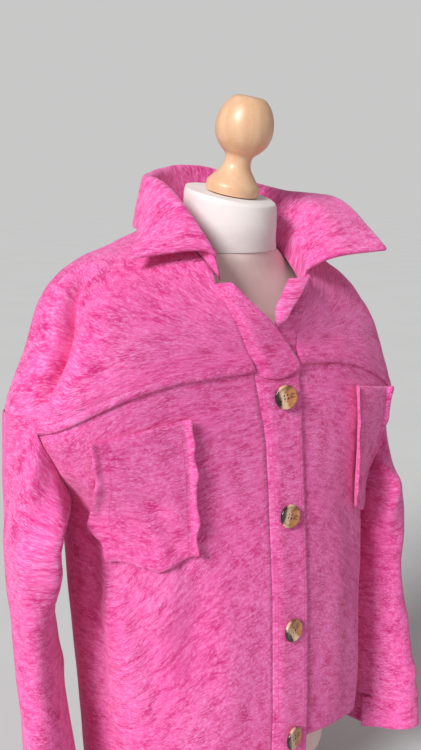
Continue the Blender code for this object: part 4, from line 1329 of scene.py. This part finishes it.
RIGHT_POCKET = PocketPlace((0.122, 0.132), (0.196, 0.238), (0.458, 0.456), (0.606, 0.596))
LEFT_POCKET = PocketPlace((0.116, 0.112), (0.182, 0.190), (0.458, 0.452), (0.606, 0.590))


@dataclass
class Jacket:
    """All cloth pieces of the jacket, with their nap, raw edges and stitches."""

    finishes: Finishes
    scatter: Scatter
    thickness: float = BODY.cloth_thickness
    seam_turn: float = 0.0005
    drop_rise: float = 0.10
    pitch: float = 0.0036
    cuff_depth: float = 0.042
    cuff_flare: float = 0.08
    cuff_gap: float = 0.0003
    tab_length: float = 0.024
    tab_lift: float = 0.006
    fallen_lift: float = 0.006
    dip: float = 0.006
    corner_lift: float = 0.009
    raw_wave: float = 0.0008

    def __post_init__(self) -> None:
        """Prepare the nap and the lists that the pieces fill."""
        self.fur = Fur(self.scatter, self.finishes.fibre)
        self.nap: dict[str, list] = {}
        self.stitches: list[tuple[Grid, Grid, Grid]] = []

    # -- common steps --
    def sheet(self, node: str, outside: Grid, inside: Grid, tube: bool = False,
              upward: bool = False, raw: Sequence[str] = (),
              rests_on: Sequence[str] = ("form_trunk",), seed: int = 1, density: float = 1.0,
              both_sides: bool = False) -> bpy.types.Object:
        """Args:
            node: the solid it stands for, and its name's stem.
            outside: grid of its outer side.
            inside: grid of its inner side.
            tube: whether the grid closes on itself.
            upward: whether the nap runs up.
            raw: which edges are raw, of low, high, first and last.
            rests_on: what it hangs on; not used.
            seed: for its fibres.
            density: a share of the usual number of fibres.
            both_sides: whether the inner side is napped too.

        Returns:
            The piece.
        """
        wall = Wall(f"{node}_cloth", outside, inside, tube)
        finish = self.finishes.wool_upright if upward else self.finishes.wool
        piece = link(wall.name, wall.mesh(), finish)
        declare(piece, "pink_wool", node)
        closed = np.concatenate((outside, outside[:, :1]), 1) if tube else outside
        flip = self.points_inwards(outside, inside)
        parts = [self.fur.on_grid(closed, upward, seed, flip, density)]
        if both_sides:
            parts.append(self.fur.on_grid(inside, upward, seed + 50, not flip, density))
        middle = (outside + inside) / 2
        edges = {"low": (middle[0], middle[0] - middle[1]),
                 "high": (middle[-1], middle[-1] - middle[-2]),
                 "first": (middle[:, 0], middle[:, 0] - middle[:, 1]),
                 "last": (middle[:, -1], middle[:, -1] - middle[:, -2])}
        for k, word in enumerate(raw):
            line, outward = edges[word]
            parts.append(self.fur.on_edge(line, unit(outward), seed + 10 + k))
        self.nap.setdefault(node, []).extend(parts)
        width = np.linalg.norm(np.diff(closed, axis=1), axis=-1).sum(1)
        length = np.linalg.norm(np.diff(closed, axis=0), axis=-1).sum(0)
        LOG.info("%s: %d triangles, widest %.3f, longest %.3f", piece.name,
                 sum(len(p.vertices) - 2 for p in piece.data.polygons), width.max(), length.max())
        return piece

    def points_inwards(self, outside: Grid, inside: Grid) -> bool:
        """Say whether a grid's own normals point towards its inner side."""
        normal = np.cross(outside[1:, 1:] - outside[:-1, :-1], outside[1:, :-1] - outside[:-1, 1:])
        return float((normal * (outside - inside)[:-1, :-1]).sum()) < 0

    def stitch_line(self, line: Grid, normal: Grid) -> None:
        """Sew a row of stitches along a line on the cloth.

        Args:
            line: points in order, on the outer side.
            normal: the outward directions there.
        """
        step = np.linalg.norm(np.diff(line, axis=0), axis=1)
        run = np.append(0.0, np.cumsum(step))
        places = np.arange(self.pitch / 2, run[-1], self.pitch)
        point = np.stack([np.interp(places, run, line[:, k]) for k in range(3)], -1)
        ahead = np.stack([np.interp(places + 1e-4, run, line[:, k]) for k in range(3)], -1)
        out = unit(np.stack([np.interp(places, run, normal[:, k]) for k in range(3)], -1))
        self.stitches.append((point + out * 0.0001, out, unit(ahead - point + 1e-9)))

    def body_sheet(self, node: str, turn: Grid, level: Grid, lift: Grid | float = 0.0,
                   **more: object) -> bpy.types.Object:
        """Make a cloth piece over a grid of places on the body."""
        lift = np.broadcast_to(np.asarray(lift, float), turn.shape)
        return self.sheet(node, BODY.cloth(turn, level, lift),
                          BODY.cloth(turn, level, lift - self.thickness), **more)

    # -- pieces --
    def front_grid(self, side: int, across: int, rows: Grid, hem: float,
                   to_neck: bool) -> tuple[Grid, Grid]:
        """Place a front or a yoke between its placket seam and the side seam or armhole.

        Args:
            side: -1 for the wearer's right, 1 for the left.
            across: points across.
            rows: shares of the way up; -1 is the yoke line and 0 the front's top edge under a
                yoke, and on a front 1 is the yoke line and 2 its top edge.
            hem: the hem's level at the placket.
            to_neck: whether it is a yoke.

        Returns:
            turn and level of every point.
        """
        share, rise = np.meshgrid(np.linspace(0, 1, across), rows)
        turn, level = side * (0.1 + 0.85 * share), 1.0 + 7.0 * np.clip(rise, 0, 1)
        for _ in range(20):
            line, top = BODY.yoke_level(turn, 0.0), BODY.yoke_level(turn, BODY.yoke_lap)
            if to_neck:
                least = 0.3 * (1 - share) + 0.02 * share
                drop = np.maximum(top + least, BODY.drop_seam_level + 0.003)
                level = np.where(rise < self.drop_rise,
                                 top + rise / self.drop_rise * (drop - top),
                                 drop + (rise - self.drop_rise) / (1 - self.drop_rise)
                                 * (BODY.neck_level - drop))
                level = np.where(rise < 0, line + (rise + 1) * (top - line), level)
            else:
                foot = hem * (1 - share)
                level = np.where(rise > 1, line + (rise - 1) * (top - line),
                                 foot + rise * (line - foot))
            height = BODY.bare(turn, level)[..., 2]
            seam_x = BODY.placket_edges(side, height)[-1]
            if to_neck and side > 0:
                seam_x = np.maximum(seam_x, BODY.placket_edges(-1, height)[0] + 0.0012)
            seam_turn, _ = BODY.find(seam_x + side * 0.0003, height)
            outer = side * (1 - self.seam_turn
                            - BODY.armhole_width(level[:, -1:], BODY.armhole_front))
            turn = (turn + seam_turn + share * (outer - seam_turn)) / 2
        return turn, level

    def fronts(self) -> None:
        """Make both fronts and the yokes that lap over them."""
        for side, word, hem in ((-1, "right", 0.0), (1, "left", 0.42)):
            rows = np.append(np.linspace(0, 1, 116), (1.5, 2.0))
            turn, level = self.front_grid(side, 74, rows, hem, False)
            self.body_sheet(f"front_{word}", turn, level, raw=("low",), seed=20 + side)
            rise = np.concatenate(((-1, -0.5, 0.0, 0.5 * self.drop_rise),
                                   np.linspace(self.drop_rise, 1, 44)))
            turn, level = self.front_grid(side, 74, rise, 0.0, True)
            fade = np.clip(1 - rise / 0.3, 0.0, 1.0)[:, None]
            lift = BODY.lap * smooth(fade)
            wavy = (self.raw_wave * ripple(turn * BODY.turn_metres, 0.0, 0.018, 8)
                    * (rise < -0.2)[:, None])
            self.body_sheet(f"yoke_{word}", turn, level, lift + np.abs(wavy), raw=("low",),
                            seed=24 + side)
            stitched = level[:1] + (level[2:3] - level[:1]) * 1.1
            line = BODY.cloth(turn[2:3], stitched, BODY.lap)[0]
            self.stitch_line(line, facing(BODY.bare, turn[2], stitched[0]))

    def back(self) -> None:
        """Make the back, from side seam to side seam and up to both shoulder seams."""
        levels = np.concatenate((np.linspace(0, 2.95, 44), np.linspace(3.0, 4.4, 22),
                                 np.linspace(4.46, 5.0, 14), np.linspace(5.06, 10, 62)))
        share, level = np.meshgrid(np.linspace(-1, 1, 117), levels)
        reach = 1 - self.seam_turn - BODY.armhole_width(level, BODY.armhole_back)
        from_back = share * reach
        turn = np.where(from_back < 0, -2 - from_back, 2 - from_back)
        turn = np.where(np.abs(from_back) < 1e-9, 2.0, turn)
        self.body_sheet("back", turn, level, raw=("low",), seed=31, density=0.75)

    def plackets(self) -> None:
        """Make the two plackets and the yoke's piece on the right one."""
        top = np.linspace(0.640, BODY.right_placket[-1][0], 34)
        self.right_band("placket_right", np.append(np.linspace(0.164, 0.637, 118), top), BODY.lap,
                        ("low", "first", "high"))
        self.right_band("placket_yoke", top, 2 * BODY.lap, ("low", "first", "high"))
        self.left_band()

    def right_band(self, name: str, z: Grid, lift: float, raw: Sequence[str]) -> None:
        """Make a band along the right front's edge, its top fallen open.

        Args:
            name: the solid's name.
            z: heights of its rows.
            lift: how far it lies outside.
            raw: its raw edges.
        """
        free, seam = BODY.placket_edges(-1, z)
        share = np.linspace(0, 1, 17)
        x = free[:, None] + share * (seam + 0.0002 - free)[:, None]
        z = np.repeat(z[:, None], len(share), 1)
        if name == "placket_yoke":
            z = z - self.dip * np.sin(math.pi * share) * (1 - smooth(z, 0.640, 0.665))
        raised = (lift * (1 - 0.92 * smooth(share, 0.72, 1.0))
                  + self.fallen_lift * np.clip((z - 0.68) / 0.06, 0, 1) * (1 - share))
        outside = BODY.front_point(x, z, raised)
        inside = BODY.front_point(x, z, raised - self.thickness)
        self.sheet(name, outside, inside, raw=raw, seed=41 + len(name))
        out = unit(outside - inside)
        for column in (2, len(share) - 3):
            self.stitch_line(outside[:, column], out[:, column])

    def left_band(self) -> None:
        """Make the band under the right one, its top corner turned outwards over itself."""
        z = np.concatenate((np.linspace(0.196, 0.655, 80), np.linspace(0.660, 0.738, 50)))
        free, roll, seam = BODY.placket_edges(1, z)
        share = np.concatenate((np.linspace(0, 0.9, 7), (0.97, 1.03), np.linspace(1.1, 2.0, 9)))
        turned_out = smooth(z, 0.690, 0.706)[:, None]
        stand_off = np.interp(share, (0.0, 0.5, 0.9, 1.0, 1.15, 2.0),
                              (1.0, 0.95, 0.6, 0.3, 0.0, 0.0))
        x = np.where(share < 1, free[:, None] + share * (roll - free)[:, None],
                     roll[:, None] + (share - 1) * (seam - 0.0006 - roll)[:, None])
        z = np.repeat(z[:, None], len(share), 1)
        outside = BODY.front_point(x, z, turned_out * stand_off * self.corner_lift)
        normal = unit(np.cross(np.gradient(outside, axis=1), np.gradient(outside, axis=0)))
        self.sheet("placket_left", outside, outside - normal * self.thickness,
                   raw=("first", "high"), seed=47)

    def sleeves(self) -> None:
        """Make the sleeves and their unbuttoned cuffs."""
        for side, word in ((-1, "right"), (1, "left")):
            shape = SleeveSurface(side)
            share = np.concatenate((np.linspace(0, 0.3, 40), np.linspace(0.31, 1, 72)))
            angle, share = np.meshgrid(np.linspace(0, 1, 89)[:-1], share)
            outside, inside = (shape.cloth(angle, share, -inset)
                               for inset in (0.0, self.thickness))
            self.sheet(f"sleeve_{word}", outside, inside, tube=True, seed=51 + side,
                       rests_on=("form_trunk", f"yoke_{word}_cloth"))
            self.cuff(shape, word)

    def cuff(self, shape: SleeveSurface, word: str) -> None:
        """Make one cuff: a band round the wrist from its opening, with a tab that sticks out.

        Args:
            shape: the sleeve it is sewn to.
            word: right or left.
        """
        angles = 0.46 + np.linspace(0.02, 1.0, 96)
        middle = np.asarray(shape.sections[-1][:3])
        wrist = shape.cloth(angles, np.ones_like(angles), 0.0) - middle
        around = np.gradient(wrist, axis=0)
        normal = unit(np.cross(around, (0.0, 0.0, -float(shape.side))))
        run = unit(around[-1])
        steps = np.linspace(0, 1, 11)[1:, None]
        grids = []
        for inset in (0.0, self.thickness):
            rows = []
            for share in np.linspace(0, 1, 15):
                flare = 1 + self.cuff_flare * share
                row = wrist * (flare, flare, 1.0) + normal * (0.0010 - inset)
                tab = row[-1] + (run * self.tab_length + normal[-1] * self.tab_lift) * steps
                drop = self.cuff_gap + self.cuff_depth * share
                rows.append(np.vstack((row, tab)) + middle - (0, 0, drop))
            grids.append(np.array(rows))
        outside, inside = grids
        self.sheet(f"cuff_{word}", outside, inside, raw=("low", "high", "first", "last"),
                   seed=61 + shape.side, rests_on=(f"sleeve_{word}_cloth",))
        out = unit(outside - inside)
        for row in (1, 13):
            self.stitch_line(outside[row], out[row])

    def collar(self) -> None:
        """Make the collar, turned down on the wearer's right and flared out on the left."""
        across, place = np.meshgrid(np.append(np.linspace(COLLAR.tuck, -0.004, 5),
                                              np.linspace(0, 1, 34)),
                                    np.linspace(COLLAR.first, COLLAR.last, 150))
        outside, inside = (np.swapaxes(COLLAR.cloth(place, across, lift), 0, 1)
                           for lift in (0.0, COLLAR.thickness))
        self.sheet("collar", outside, inside, upward=True, raw=("high", "first", "last"), seed=71,
                   both_sides=True, rests_on=("back_cloth", "yoke_right_cloth"))
        out = unit(outside - inside)
        self.stitch_line(outside[-4], out[-4])
        self.stitch_line(inside[-4], -out[-4])

    def pockets(self) -> None:
        """Make a patch pocket on each front, its raw side margins standing out."""
        columns = np.concatenate((np.linspace(0, 0.09, 5), np.linspace(0.12, 0.88, 26),
                                  np.linspace(0.91, 1, 5)))
        share, rise = np.meshgrid(columns, np.linspace(0, 1, 44))
        for word, side, place in (("right", -1, RIGHT_POCKET), ("left", 1, LEFT_POCKET)):
            inner = place.inner[0] + (place.inner[1] - place.inner[0]) * rise
            outer = place.outer[0] + (place.outer[1] - place.outer[0]) * rise
            low = (place.low[0] + (place.low[1] - place.low[0]) * share
                   - place.point * (1 - np.abs(2 * share - 1)))
            high = place.high[0] + (place.high[1] - place.high[0]) * share
            wave = ripple(rise * 0.15, 0.0, place.wave_length, 14 + side)
            margin = np.clip(1 - np.minimum(share, 1 - share) / place.margin, 0, 1)
            x = (inner + (outer - inner) * share
                 + place.sway * wave * margin * np.sign(share - 0.5))
            turn, level = BODY.find(side * x, low + (high - low) * rise)
            lift = (place.stand_off + self.thickness
                    + (place.curl + place.curl_wave * wave) * smooth(margin))
            outside = BODY.cloth(turn, level, lift)
            inside = BODY.cloth(turn, level, lift - self.thickness)
            self.sheet(f"pocket_{word}", outside, inside, raw=("low", "high", "first", "last"),
                       seed=81 + side, rests_on=(f"front_{word}_cloth",))
            out = unit(outside - inside)
            self.stitch_line(outside[-4], out[-4])
            for column in (5, len(columns) - 6):
                self.stitch_line(outside[:, column], out[:, column])

    def finish_nap(self) -> None:
        """Grow the nap of every piece."""
        for k, (node, parts) in enumerate(self.nap.items()):
            self.fur.grow(f"{node}_nap", parts, 200 + k)

    def finish_stitches(self) -> None:
        """Sew all stitches as one piece."""
        point, out, run = (np.concatenate(rows) for rows in zip(*self.stitches))
        size = np.tile((0.0013, 0.00042, 0.00042), (len(point), 1))
        piece = self.scatter.place("stitching", self.scatter.stitch, point, out, run, size,
                                   self.finishes.thread, 0.9, 7)
        declare(piece, "pink_wool")
        LOG.info("stitching: %d stitches", len(point))

    def build(self) -> None:
        """Make every cloth piece in the order that they are sewn."""
        self.back()
        self.fronts()
        self.plackets()
        self.sleeves()
        self.collar()
        self.pockets()
        self.finish_nap()
        self.finish_stitches()


# ---- the buttons ----------------------------------------------------------------------------
def ring_mesh(name: str, rings: Grid, ends: Grid) -> bpy.types.Mesh:
    """Close a stack of equal rings with a fan to a point at each end.

    Args:
        name: the mesh's name.
        rings: rings of points from the lowest up, each anticlockwise from above.
        ends: the points that close the lowest and the highest ring.

    Returns:
        The mesh.
    """
    count = rings.shape[0] * rings.shape[1]
    number = np.arange(count).reshape(rings.shape[:2])
    after = np.roll(number, -1, axis=1)
    walls = np.stack((number[:-1], after[:-1], after[1:], number[1:]), -1).reshape(-1, 4)
    fans = [np.stack((after[0], number[0], np.full(rings.shape[1], count)), -1),
            np.stack((number[-1], after[-1], np.full(rings.shape[1], count + 1)), -1)]
    mesh = bpy.data.meshes.new(name)
    mesh.from_pydata(np.vstack((rings.reshape(-1, 3), ends)).tolist(), [],
                     [*walls.tolist(), *np.vstack(fans).tolist()])
    return mesh


def turned_mesh(name: str, profile: Sequence[tuple[float, float]], sides: int) -> bpy.types.Mesh:
    """Turn a profile about Z into a closed mesh.

    Args:
        name: the mesh's name.
        profile: radius and height from the lower end up, both ends on the axis.
        sides: how many sides.

    Returns:
        The mesh.
    """
    spin = math.tau * np.arange(sides) / sides
    radius, height = np.array(profile[1:-1]).T[..., None]
    rings = np.stack((radius * np.cos(spin), radius * np.sin(spin), height + 0.0 * spin), -1)
    return ring_mesh(name, rings, np.array([(0.0, 0.0, profile[end][1]) for end in (0, -1)]))


@dataclass
class HornButtons:
    """Four-hole buttons with a raised rim, sewn on with thread."""

    finishes: Finishes
    radius: float = 0.0138
    thick: float = 0.0042
    hole_radius: float = 0.0013
    hole_offset: float = 0.0028
    rise: float = 0.0010
    across: float = -0.005
    top_z: float = 0.612
    step: float = 0.1345
    # how far each button is turned about its own axis and about the vertical, in degrees
    turned: tuple[tuple[float, float], ...] = ((12, -14), (-20, -2), (35, 6), (8, 14))

    def disc(self) -> bpy.types.Mesh:
        """Make the button's disc with its four holes cut through."""
        profile = ((0.0, 0.0), (0.60, 0.0), (0.86, 0.06), (0.96, 0.24), (1.0, 0.50), (0.985, 0.78),
                   (0.94, 0.95), (0.88, 1.0), (0.82, 0.95), (0.77, 0.80), (0.70, 0.68),
                   (0.55, 0.62), (0.30, 0.60), (0.0, 0.60))
        body = turned_mesh("button_disc", [(r * self.radius, h * self.thick) for r, h in profile],
                           72)
        disc = bpy.data.objects.new("button_disc", body)
        bpy.context.scene.collection.objects.link(disc)
        drills = []
        for k in range(4):
            spin = math.tau * (k + 0.5) / 4
            drill = turned_mesh("drill", ((0.0, -0.001), (self.hole_radius, -0.001),
                                          (self.hole_radius, self.thick + 0.001),
                                          (0.0, self.thick + 0.001)), 16)
            drill.transform(Matrix.Translation((self.hole_offset * math.cos(spin),
                                                self.hole_offset * math.sin(spin), 0)))
            thing = bpy.data.objects.new("drill", drill)
            bpy.context.scene.collection.objects.link(thing)
            cut = disc.modifiers.new("hole", "BOOLEAN")
            cut.operation, cut.object, cut.solver = "DIFFERENCE", thing, "EXACT"
            drills.append(thing)
        bpy.context.view_layer.update()
        mesh = bpy.data.meshes.new_from_object(
            disc.evaluated_get(bpy.context.evaluated_depsgraph_get()))
        for thing in (disc, *drills):
            bpy.data.objects.remove(thing, do_unlink=True)
        layer = mesh.attributes.new("local", "FLOAT_VECTOR", "POINT")
        layer.data.foreach_set("vector", np.array([v.co[:] for v in mesh.vertices],
                                                  np.float32).reshape(-1) / self.radius)
        return mesh

    def thread(self) -> bpy.types.Mesh:
        """Make the thread: a strand through each hole to the shank below."""
        shape = bmesh.new()
        top = self.thick * 0.36
        for k in range(4):
            spin = math.tau * (k + 0.5) / 4
            hole = Vector((self.hole_offset * math.cos(spin), self.hole_offset * math.sin(spin), 0))
            self.strand(shape, [hole * 0.3 + Vector((0, 0, -self.rise - 0.0006)),
                                hole * 0.7 + Vector((0, 0, -0.0002)),
                                hole + Vector((0, 0, top))], 0.00055)
        mesh = bpy.data.meshes.new("button_thread")
        shape.to_mesh(mesh)
        shape.free()
        return mesh

    def strand(self, shape: bmesh.types.BMesh, points: list[Vector], radius: float) -> None:
        """Add a closed tube along points.

        Args:
            shape: the mesh to add to.
            points: its middle line.
            radius: its radius.
        """
        sides, rings = 8, []
        spins = [math.tau * n / sides for n in range(sides)]
        for k, point in enumerate(points):
            run = (points[min(k + 1, len(points) - 1)] - points[max(k - 1, 0)]).normalized()
            spot = run.orthogonal().normalized() * radius
            other = run.cross(spot)
            rings.append([shape.verts.new(point + spot * math.cos(spin) + other * math.sin(spin))
                          for spin in spins])
        for low, high in zip(rings, rings[1:]):
            offset = min(range(sides), key=lambda m: (low[0].co - high[m].co).length)
            for n in range(sides):
                shape.faces.new((low[n], low[(n + 1) % sides], high[(n + 1 + offset) % sides],
                                 high[(n + offset) % sides]))
        shape.faces.new(rings[0][::-1])
        shape.faces.new(rings[-1])

    def build(self) -> None:
        """Place the four front buttons, each tilted as it hangs on its thread."""
        disc, thread = self.disc(), self.thread()
        for k, (spin, swing) in enumerate(self.turned):
            node = f"button_front_{k + 1}"
            turn, level = BODY.find(self.across, self.top_z - k * self.step)
            lift = BODY.lap + self.rise + 0.8 * self.radius * abs(math.sin(math.radians(swing)))
            centre = Vector(BODY.bare(turn, level) + facing(BODY.bare, turn, level) * lift)
            normal = Vector(facing(BODY.bare, turn, level))
            place = (Matrix.Translation(centre) @ Matrix.Rotation(math.radians(swing), 4, "Z")
                     @ normal.to_track_quat("Z", "Y").to_matrix().to_4x4()
                     @ Matrix.Rotation(math.radians(spin), 4, "Z"))
            for word, mesh, finish in (("", disc, self.finishes.horn),
                                       ("_thread", thread, self.finishes.thread)):
                copy = mesh.copy()
                copy.transform(place)
                piece = link(f"{node}_sewn{word}", copy, finish)
                copy.set_sharp_from_angle(angle=math.radians(50))
                declare(piece, "horn", *([] if word else [node]))
            LOG.info("%s placed", node)


# ---- the dress form -------------------------------------------------------------------------
@dataclass
class DressForm:
    """The trunk, neck cap, wooden knob, pole and base that carry the jacket."""

    finishes: Finishes
    sides: int = 96
    lean_forward: float = math.radians(12.0)
    lean_left: float = math.radians(4.0)
    neck_top: tuple[float, float, float] = (-0.006, 0.0, 0.8295)
    knob_foot: tuple[float, float, float] = (-0.004, -0.0015, 0.8297)
    base_radius: float = 0.175
    base_thick: float = 0.018
    pole_radius: float = 0.016
    # z, half-width, half-depth and place fore-and-aft
    trunk: Table = (
        (0.120, 0.150, 0.098, 0.004), (0.200, 0.158, 0.102, 0.004), (0.300, 0.138, 0.092, 0.004),
        (0.380, 0.124, 0.084, 0.006), (0.470, 0.140, 0.088, 0.004), (0.560, 0.156, 0.084, 0.004),
        (0.640, 0.160, 0.074, 0.008), (0.700, 0.138, 0.060, 0.012), (0.740, 0.098, 0.052, 0.012),
        (0.765, 0.062, 0.050, 0.008),
    )
    neck: Table = (
        (0.7655, 0.058, 0.051, 0.007), (0.780, 0.055, 0.052, 0.005), (0.800, 0.0535, 0.053, 0.002),
        (0.822, 0.053, 0.052, 0.000), (0.829, 0.050, 0.049, 0.000),
    )
    knob: Table = (
        (0.0295, 0.0004), (0.0305, 0.007), (0.0290, 0.012), (0.0225, 0.020), (0.0165, 0.029),
        (0.0150, 0.036), (0.0165, 0.043), (0.0230, 0.049), (0.0295, 0.058), (0.0325, 0.070),
        (0.0312, 0.083), (0.0265, 0.095), (0.0200, 0.103), (0.0150, 0.1060),
    )

    def loft(self, name: str, table: Table, rows: int, lean: bool) -> bpy.types.Mesh:
        """Close a solid through oval sections.

        Args:
            name: the mesh's name.
            table: its sections.
            rows: how many rows to make.
            lean: whether it leans more further up.

        Returns:
            The mesh.
        """
        z, wide, deep, y = along(table, np.linspace(0, len(table) - 1, rows)).T[..., None]
        spin = math.tau * np.arange(self.sides) / self.sides
        share = np.linspace(0, 1, rows)[:, None] * float(lean)
        across, aft = wide * np.cos(spin), deep * np.sin(spin)
        tip = share * (aft * math.tan(self.lean_forward) - across * math.tan(self.lean_left))
        rings = np.stack((across + self.neck_top[0] * share, y + aft, z + tip), -1)
        return ring_mesh(name, rings, rings[[0, -1]].mean(1))

    def soft_profile(self, table: Table, steps: int) -> list[tuple[float, float]]:
        """Run a smooth curve through a profile's points and close it on the axis."""
        points = along(table, np.linspace(0, len(table) - 1, steps))
        return [(0.0, table[0][1]), *map(tuple, points), (0.0, table[-1][1] + 0.0003)]

    def add(self, name: str, mesh: bpy.types.Mesh, finish: bpy.types.Material, node: str,
            slot: str) -> bpy.types.Object:
        """Link a piece, ride it and hide the solid it stands for."""
        piece = link(name, mesh, finish)
        mesh.set_sharp_from_angle(angle=math.radians(48))
        declare(piece, slot, node)
        LOG.info("%s built", name)
        return piece

    def build(self) -> None:
        """Make the five pieces of the form and its stand."""
        trunk = self.add("form_trunk_cover", self.loft("form_trunk_cover", self.trunk, 80, False),
                         self.finishes.jersey, "form_trunk", "form_cloth")
        neck = self.add("form_neck_cap", self.loft("form_neck_cap", self.neck, 40, True),
                        self.finishes.cotton, "form_neck", "neck_cloth")
        lean = Matrix.Rotation(self.lean_forward, 4, "X") @ Matrix.Rotation(self.lean_left, 4, "Y")
        knob = turned_mesh("neck_knob_turned", self.soft_profile(self.knob, 70), self.sides)
        knob.transform(Matrix.Translation(self.knob_foot) @ lean)
        self.add("neck_knob_turned", knob, self.finishes.beech, "neck_knob", "beech")
        pole = turned_mesh("stand_pole_tube", (
            (0.0, self.base_thick + 0.0003), (0.024, self.base_thick + 0.0003),
            (0.026, self.base_thick + 0.0015), (0.0258, self.base_thick + 0.005),
            (0.022, self.base_thick + 0.0085), (self.pole_radius + 0.001, 0.029),
            (self.pole_radius, 0.032), (self.pole_radius, 0.1197), (0.0, 0.1197)), 64)
        self.add("stand_pole_tube", pole, self.finishes.paint, "stand_pole", "stand_paint")
        rim = self.base_radius
        base = turned_mesh("stand_base_disc", (
            (0.0, 0.0), (rim - 0.001, 0.0), (rim, 0.001), (rim, self.base_thick - 0.005),
            (rim - 0.0012, self.base_thick - 0.0018), (rim - 0.004, self.base_thick),
            (0.0, self.base_thick)), 128)
        self.add("stand_base_disc", base, self.finishes.paint, "stand_base", "stand_paint")


# ---- the studio -----------------------------------------------------------------------------
@dataclass
class Studio:
    """The pale floor, the soft lights and the camera."""

    finishes: Finishes
    camera_place: tuple[float, float, float] = (-0.663, -0.840, 0.862)
    azimuth: float = math.radians(37.0)
    pitch: float = math.radians(12.9)
    roll: float = math.radians(0.57)
    lens: float = 44.4
    sensor: float = 36.0

    def camera(self) -> None:
        """Set the camera at the viewing angle."""
        ahead = Vector((math.sin(self.azimuth) * math.cos(self.pitch),
                        math.cos(self.azimuth) * math.cos(self.pitch), -math.sin(self.pitch)))
        right = Vector((math.cos(self.azimuth), -math.sin(self.azimuth), 0.0))
        upward = right.cross(ahead)
        across = math.cos(self.roll) * right + math.sin(self.roll) * upward
        top = math.cos(self.roll) * upward - math.sin(self.roll) * right
        data = bpy.data.cameras.new("camera")
        data.sensor_fit, data.sensor_height, data.lens = "VERTICAL", self.sensor, self.lens
        data.clip_start = 0.01
        camera = bpy.data.objects.new("camera", data)
        camera.matrix_world = Matrix.Translation(self.camera_place) @ Matrix(
            (across, top, -ahead)).transposed().to_4x4()
        bpy.context.scene.collection.objects.link(camera)
        bpy.context.scene.camera = camera

    def lamp(self, name: str, place: Sequence[float], target: Sequence[float], width: float,
             power: float, colour: Colour) -> None:
        """Hang a broad, far light.

        Args:
            name: its name.
            place: where it is.
            target: what it shines at.
            width: how broad it looks from there, in degrees.
            power: watts on a square metre.
            colour: its colour.
        """
        data = bpy.data.lights.new(name, "SUN")
        data.angle, data.energy, data.color = math.radians(width), power, colour
        lamp = bpy.data.objects.new(name, data)
        lamp.location = place
        lamp.rotation_euler = (Vector(target) - Vector(place)).to_track_quat("-Z", "Y").to_euler()
        bpy.context.scene.collection.objects.link(lamp)

    def build(self) -> None:
        """Make the floor, the lights, the sky and the camera."""
        mesh = bpy.data.meshes.new("floor")
        half = 12.0
        mesh.from_pydata([(-half, -half, 0), (half, -half, 0), (half, half, 0), (-half, half, 0)],
                         [], [(0, 1, 2, 3)])
        link("floor", mesh, self.finishes.floor)
        middle = (0.0, 0.0, 0.55)
        self.lamp("key", (-2.2, -0.75, 1.9), middle, 18.0, 3.35, (0.95, 1.02, 1.02))
        world = bpy.data.worlds.new("studio")
        world.use_nodes = True
        nodes = Nodes(world.node_tree)
        seen = nodes.add("ShaderNodeLightPath").outputs["Is Camera Ray"]
        glow = nodes.add("ShaderNodeBackground", {"Color": (0.33, 0.318, 0.323, 1.0)})
        backdrop = nodes.add("ShaderNodeBackground", {"Color": (0.578, 0.578, 0.575, 1.0)})
        both = nodes.add("ShaderNodeMixShader", {0: seen, 1: glow.outputs[0],
                                                 2: backdrop.outputs[0]})
        nodes.tree.links.new(both.outputs[0], nodes.tree.nodes["World Output"].inputs[0])
        bpy.context.scene.world = world
        bpy.context.scene.view_settings.view_transform = "Standard"
        self.camera()


def main() -> None:
    """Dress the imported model."""
    logging.basicConfig(level=logging.INFO, format="%(name)s: %(message)s")
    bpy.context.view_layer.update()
    finishes = Finishes()
    scatter = Scatter()
    Studio(finishes).build()
    DressForm(finishes).build()
    Jacket(finishes, scatter).build()
    HornButtons(finishes).build()


if __name__ == "__main__":
    main()
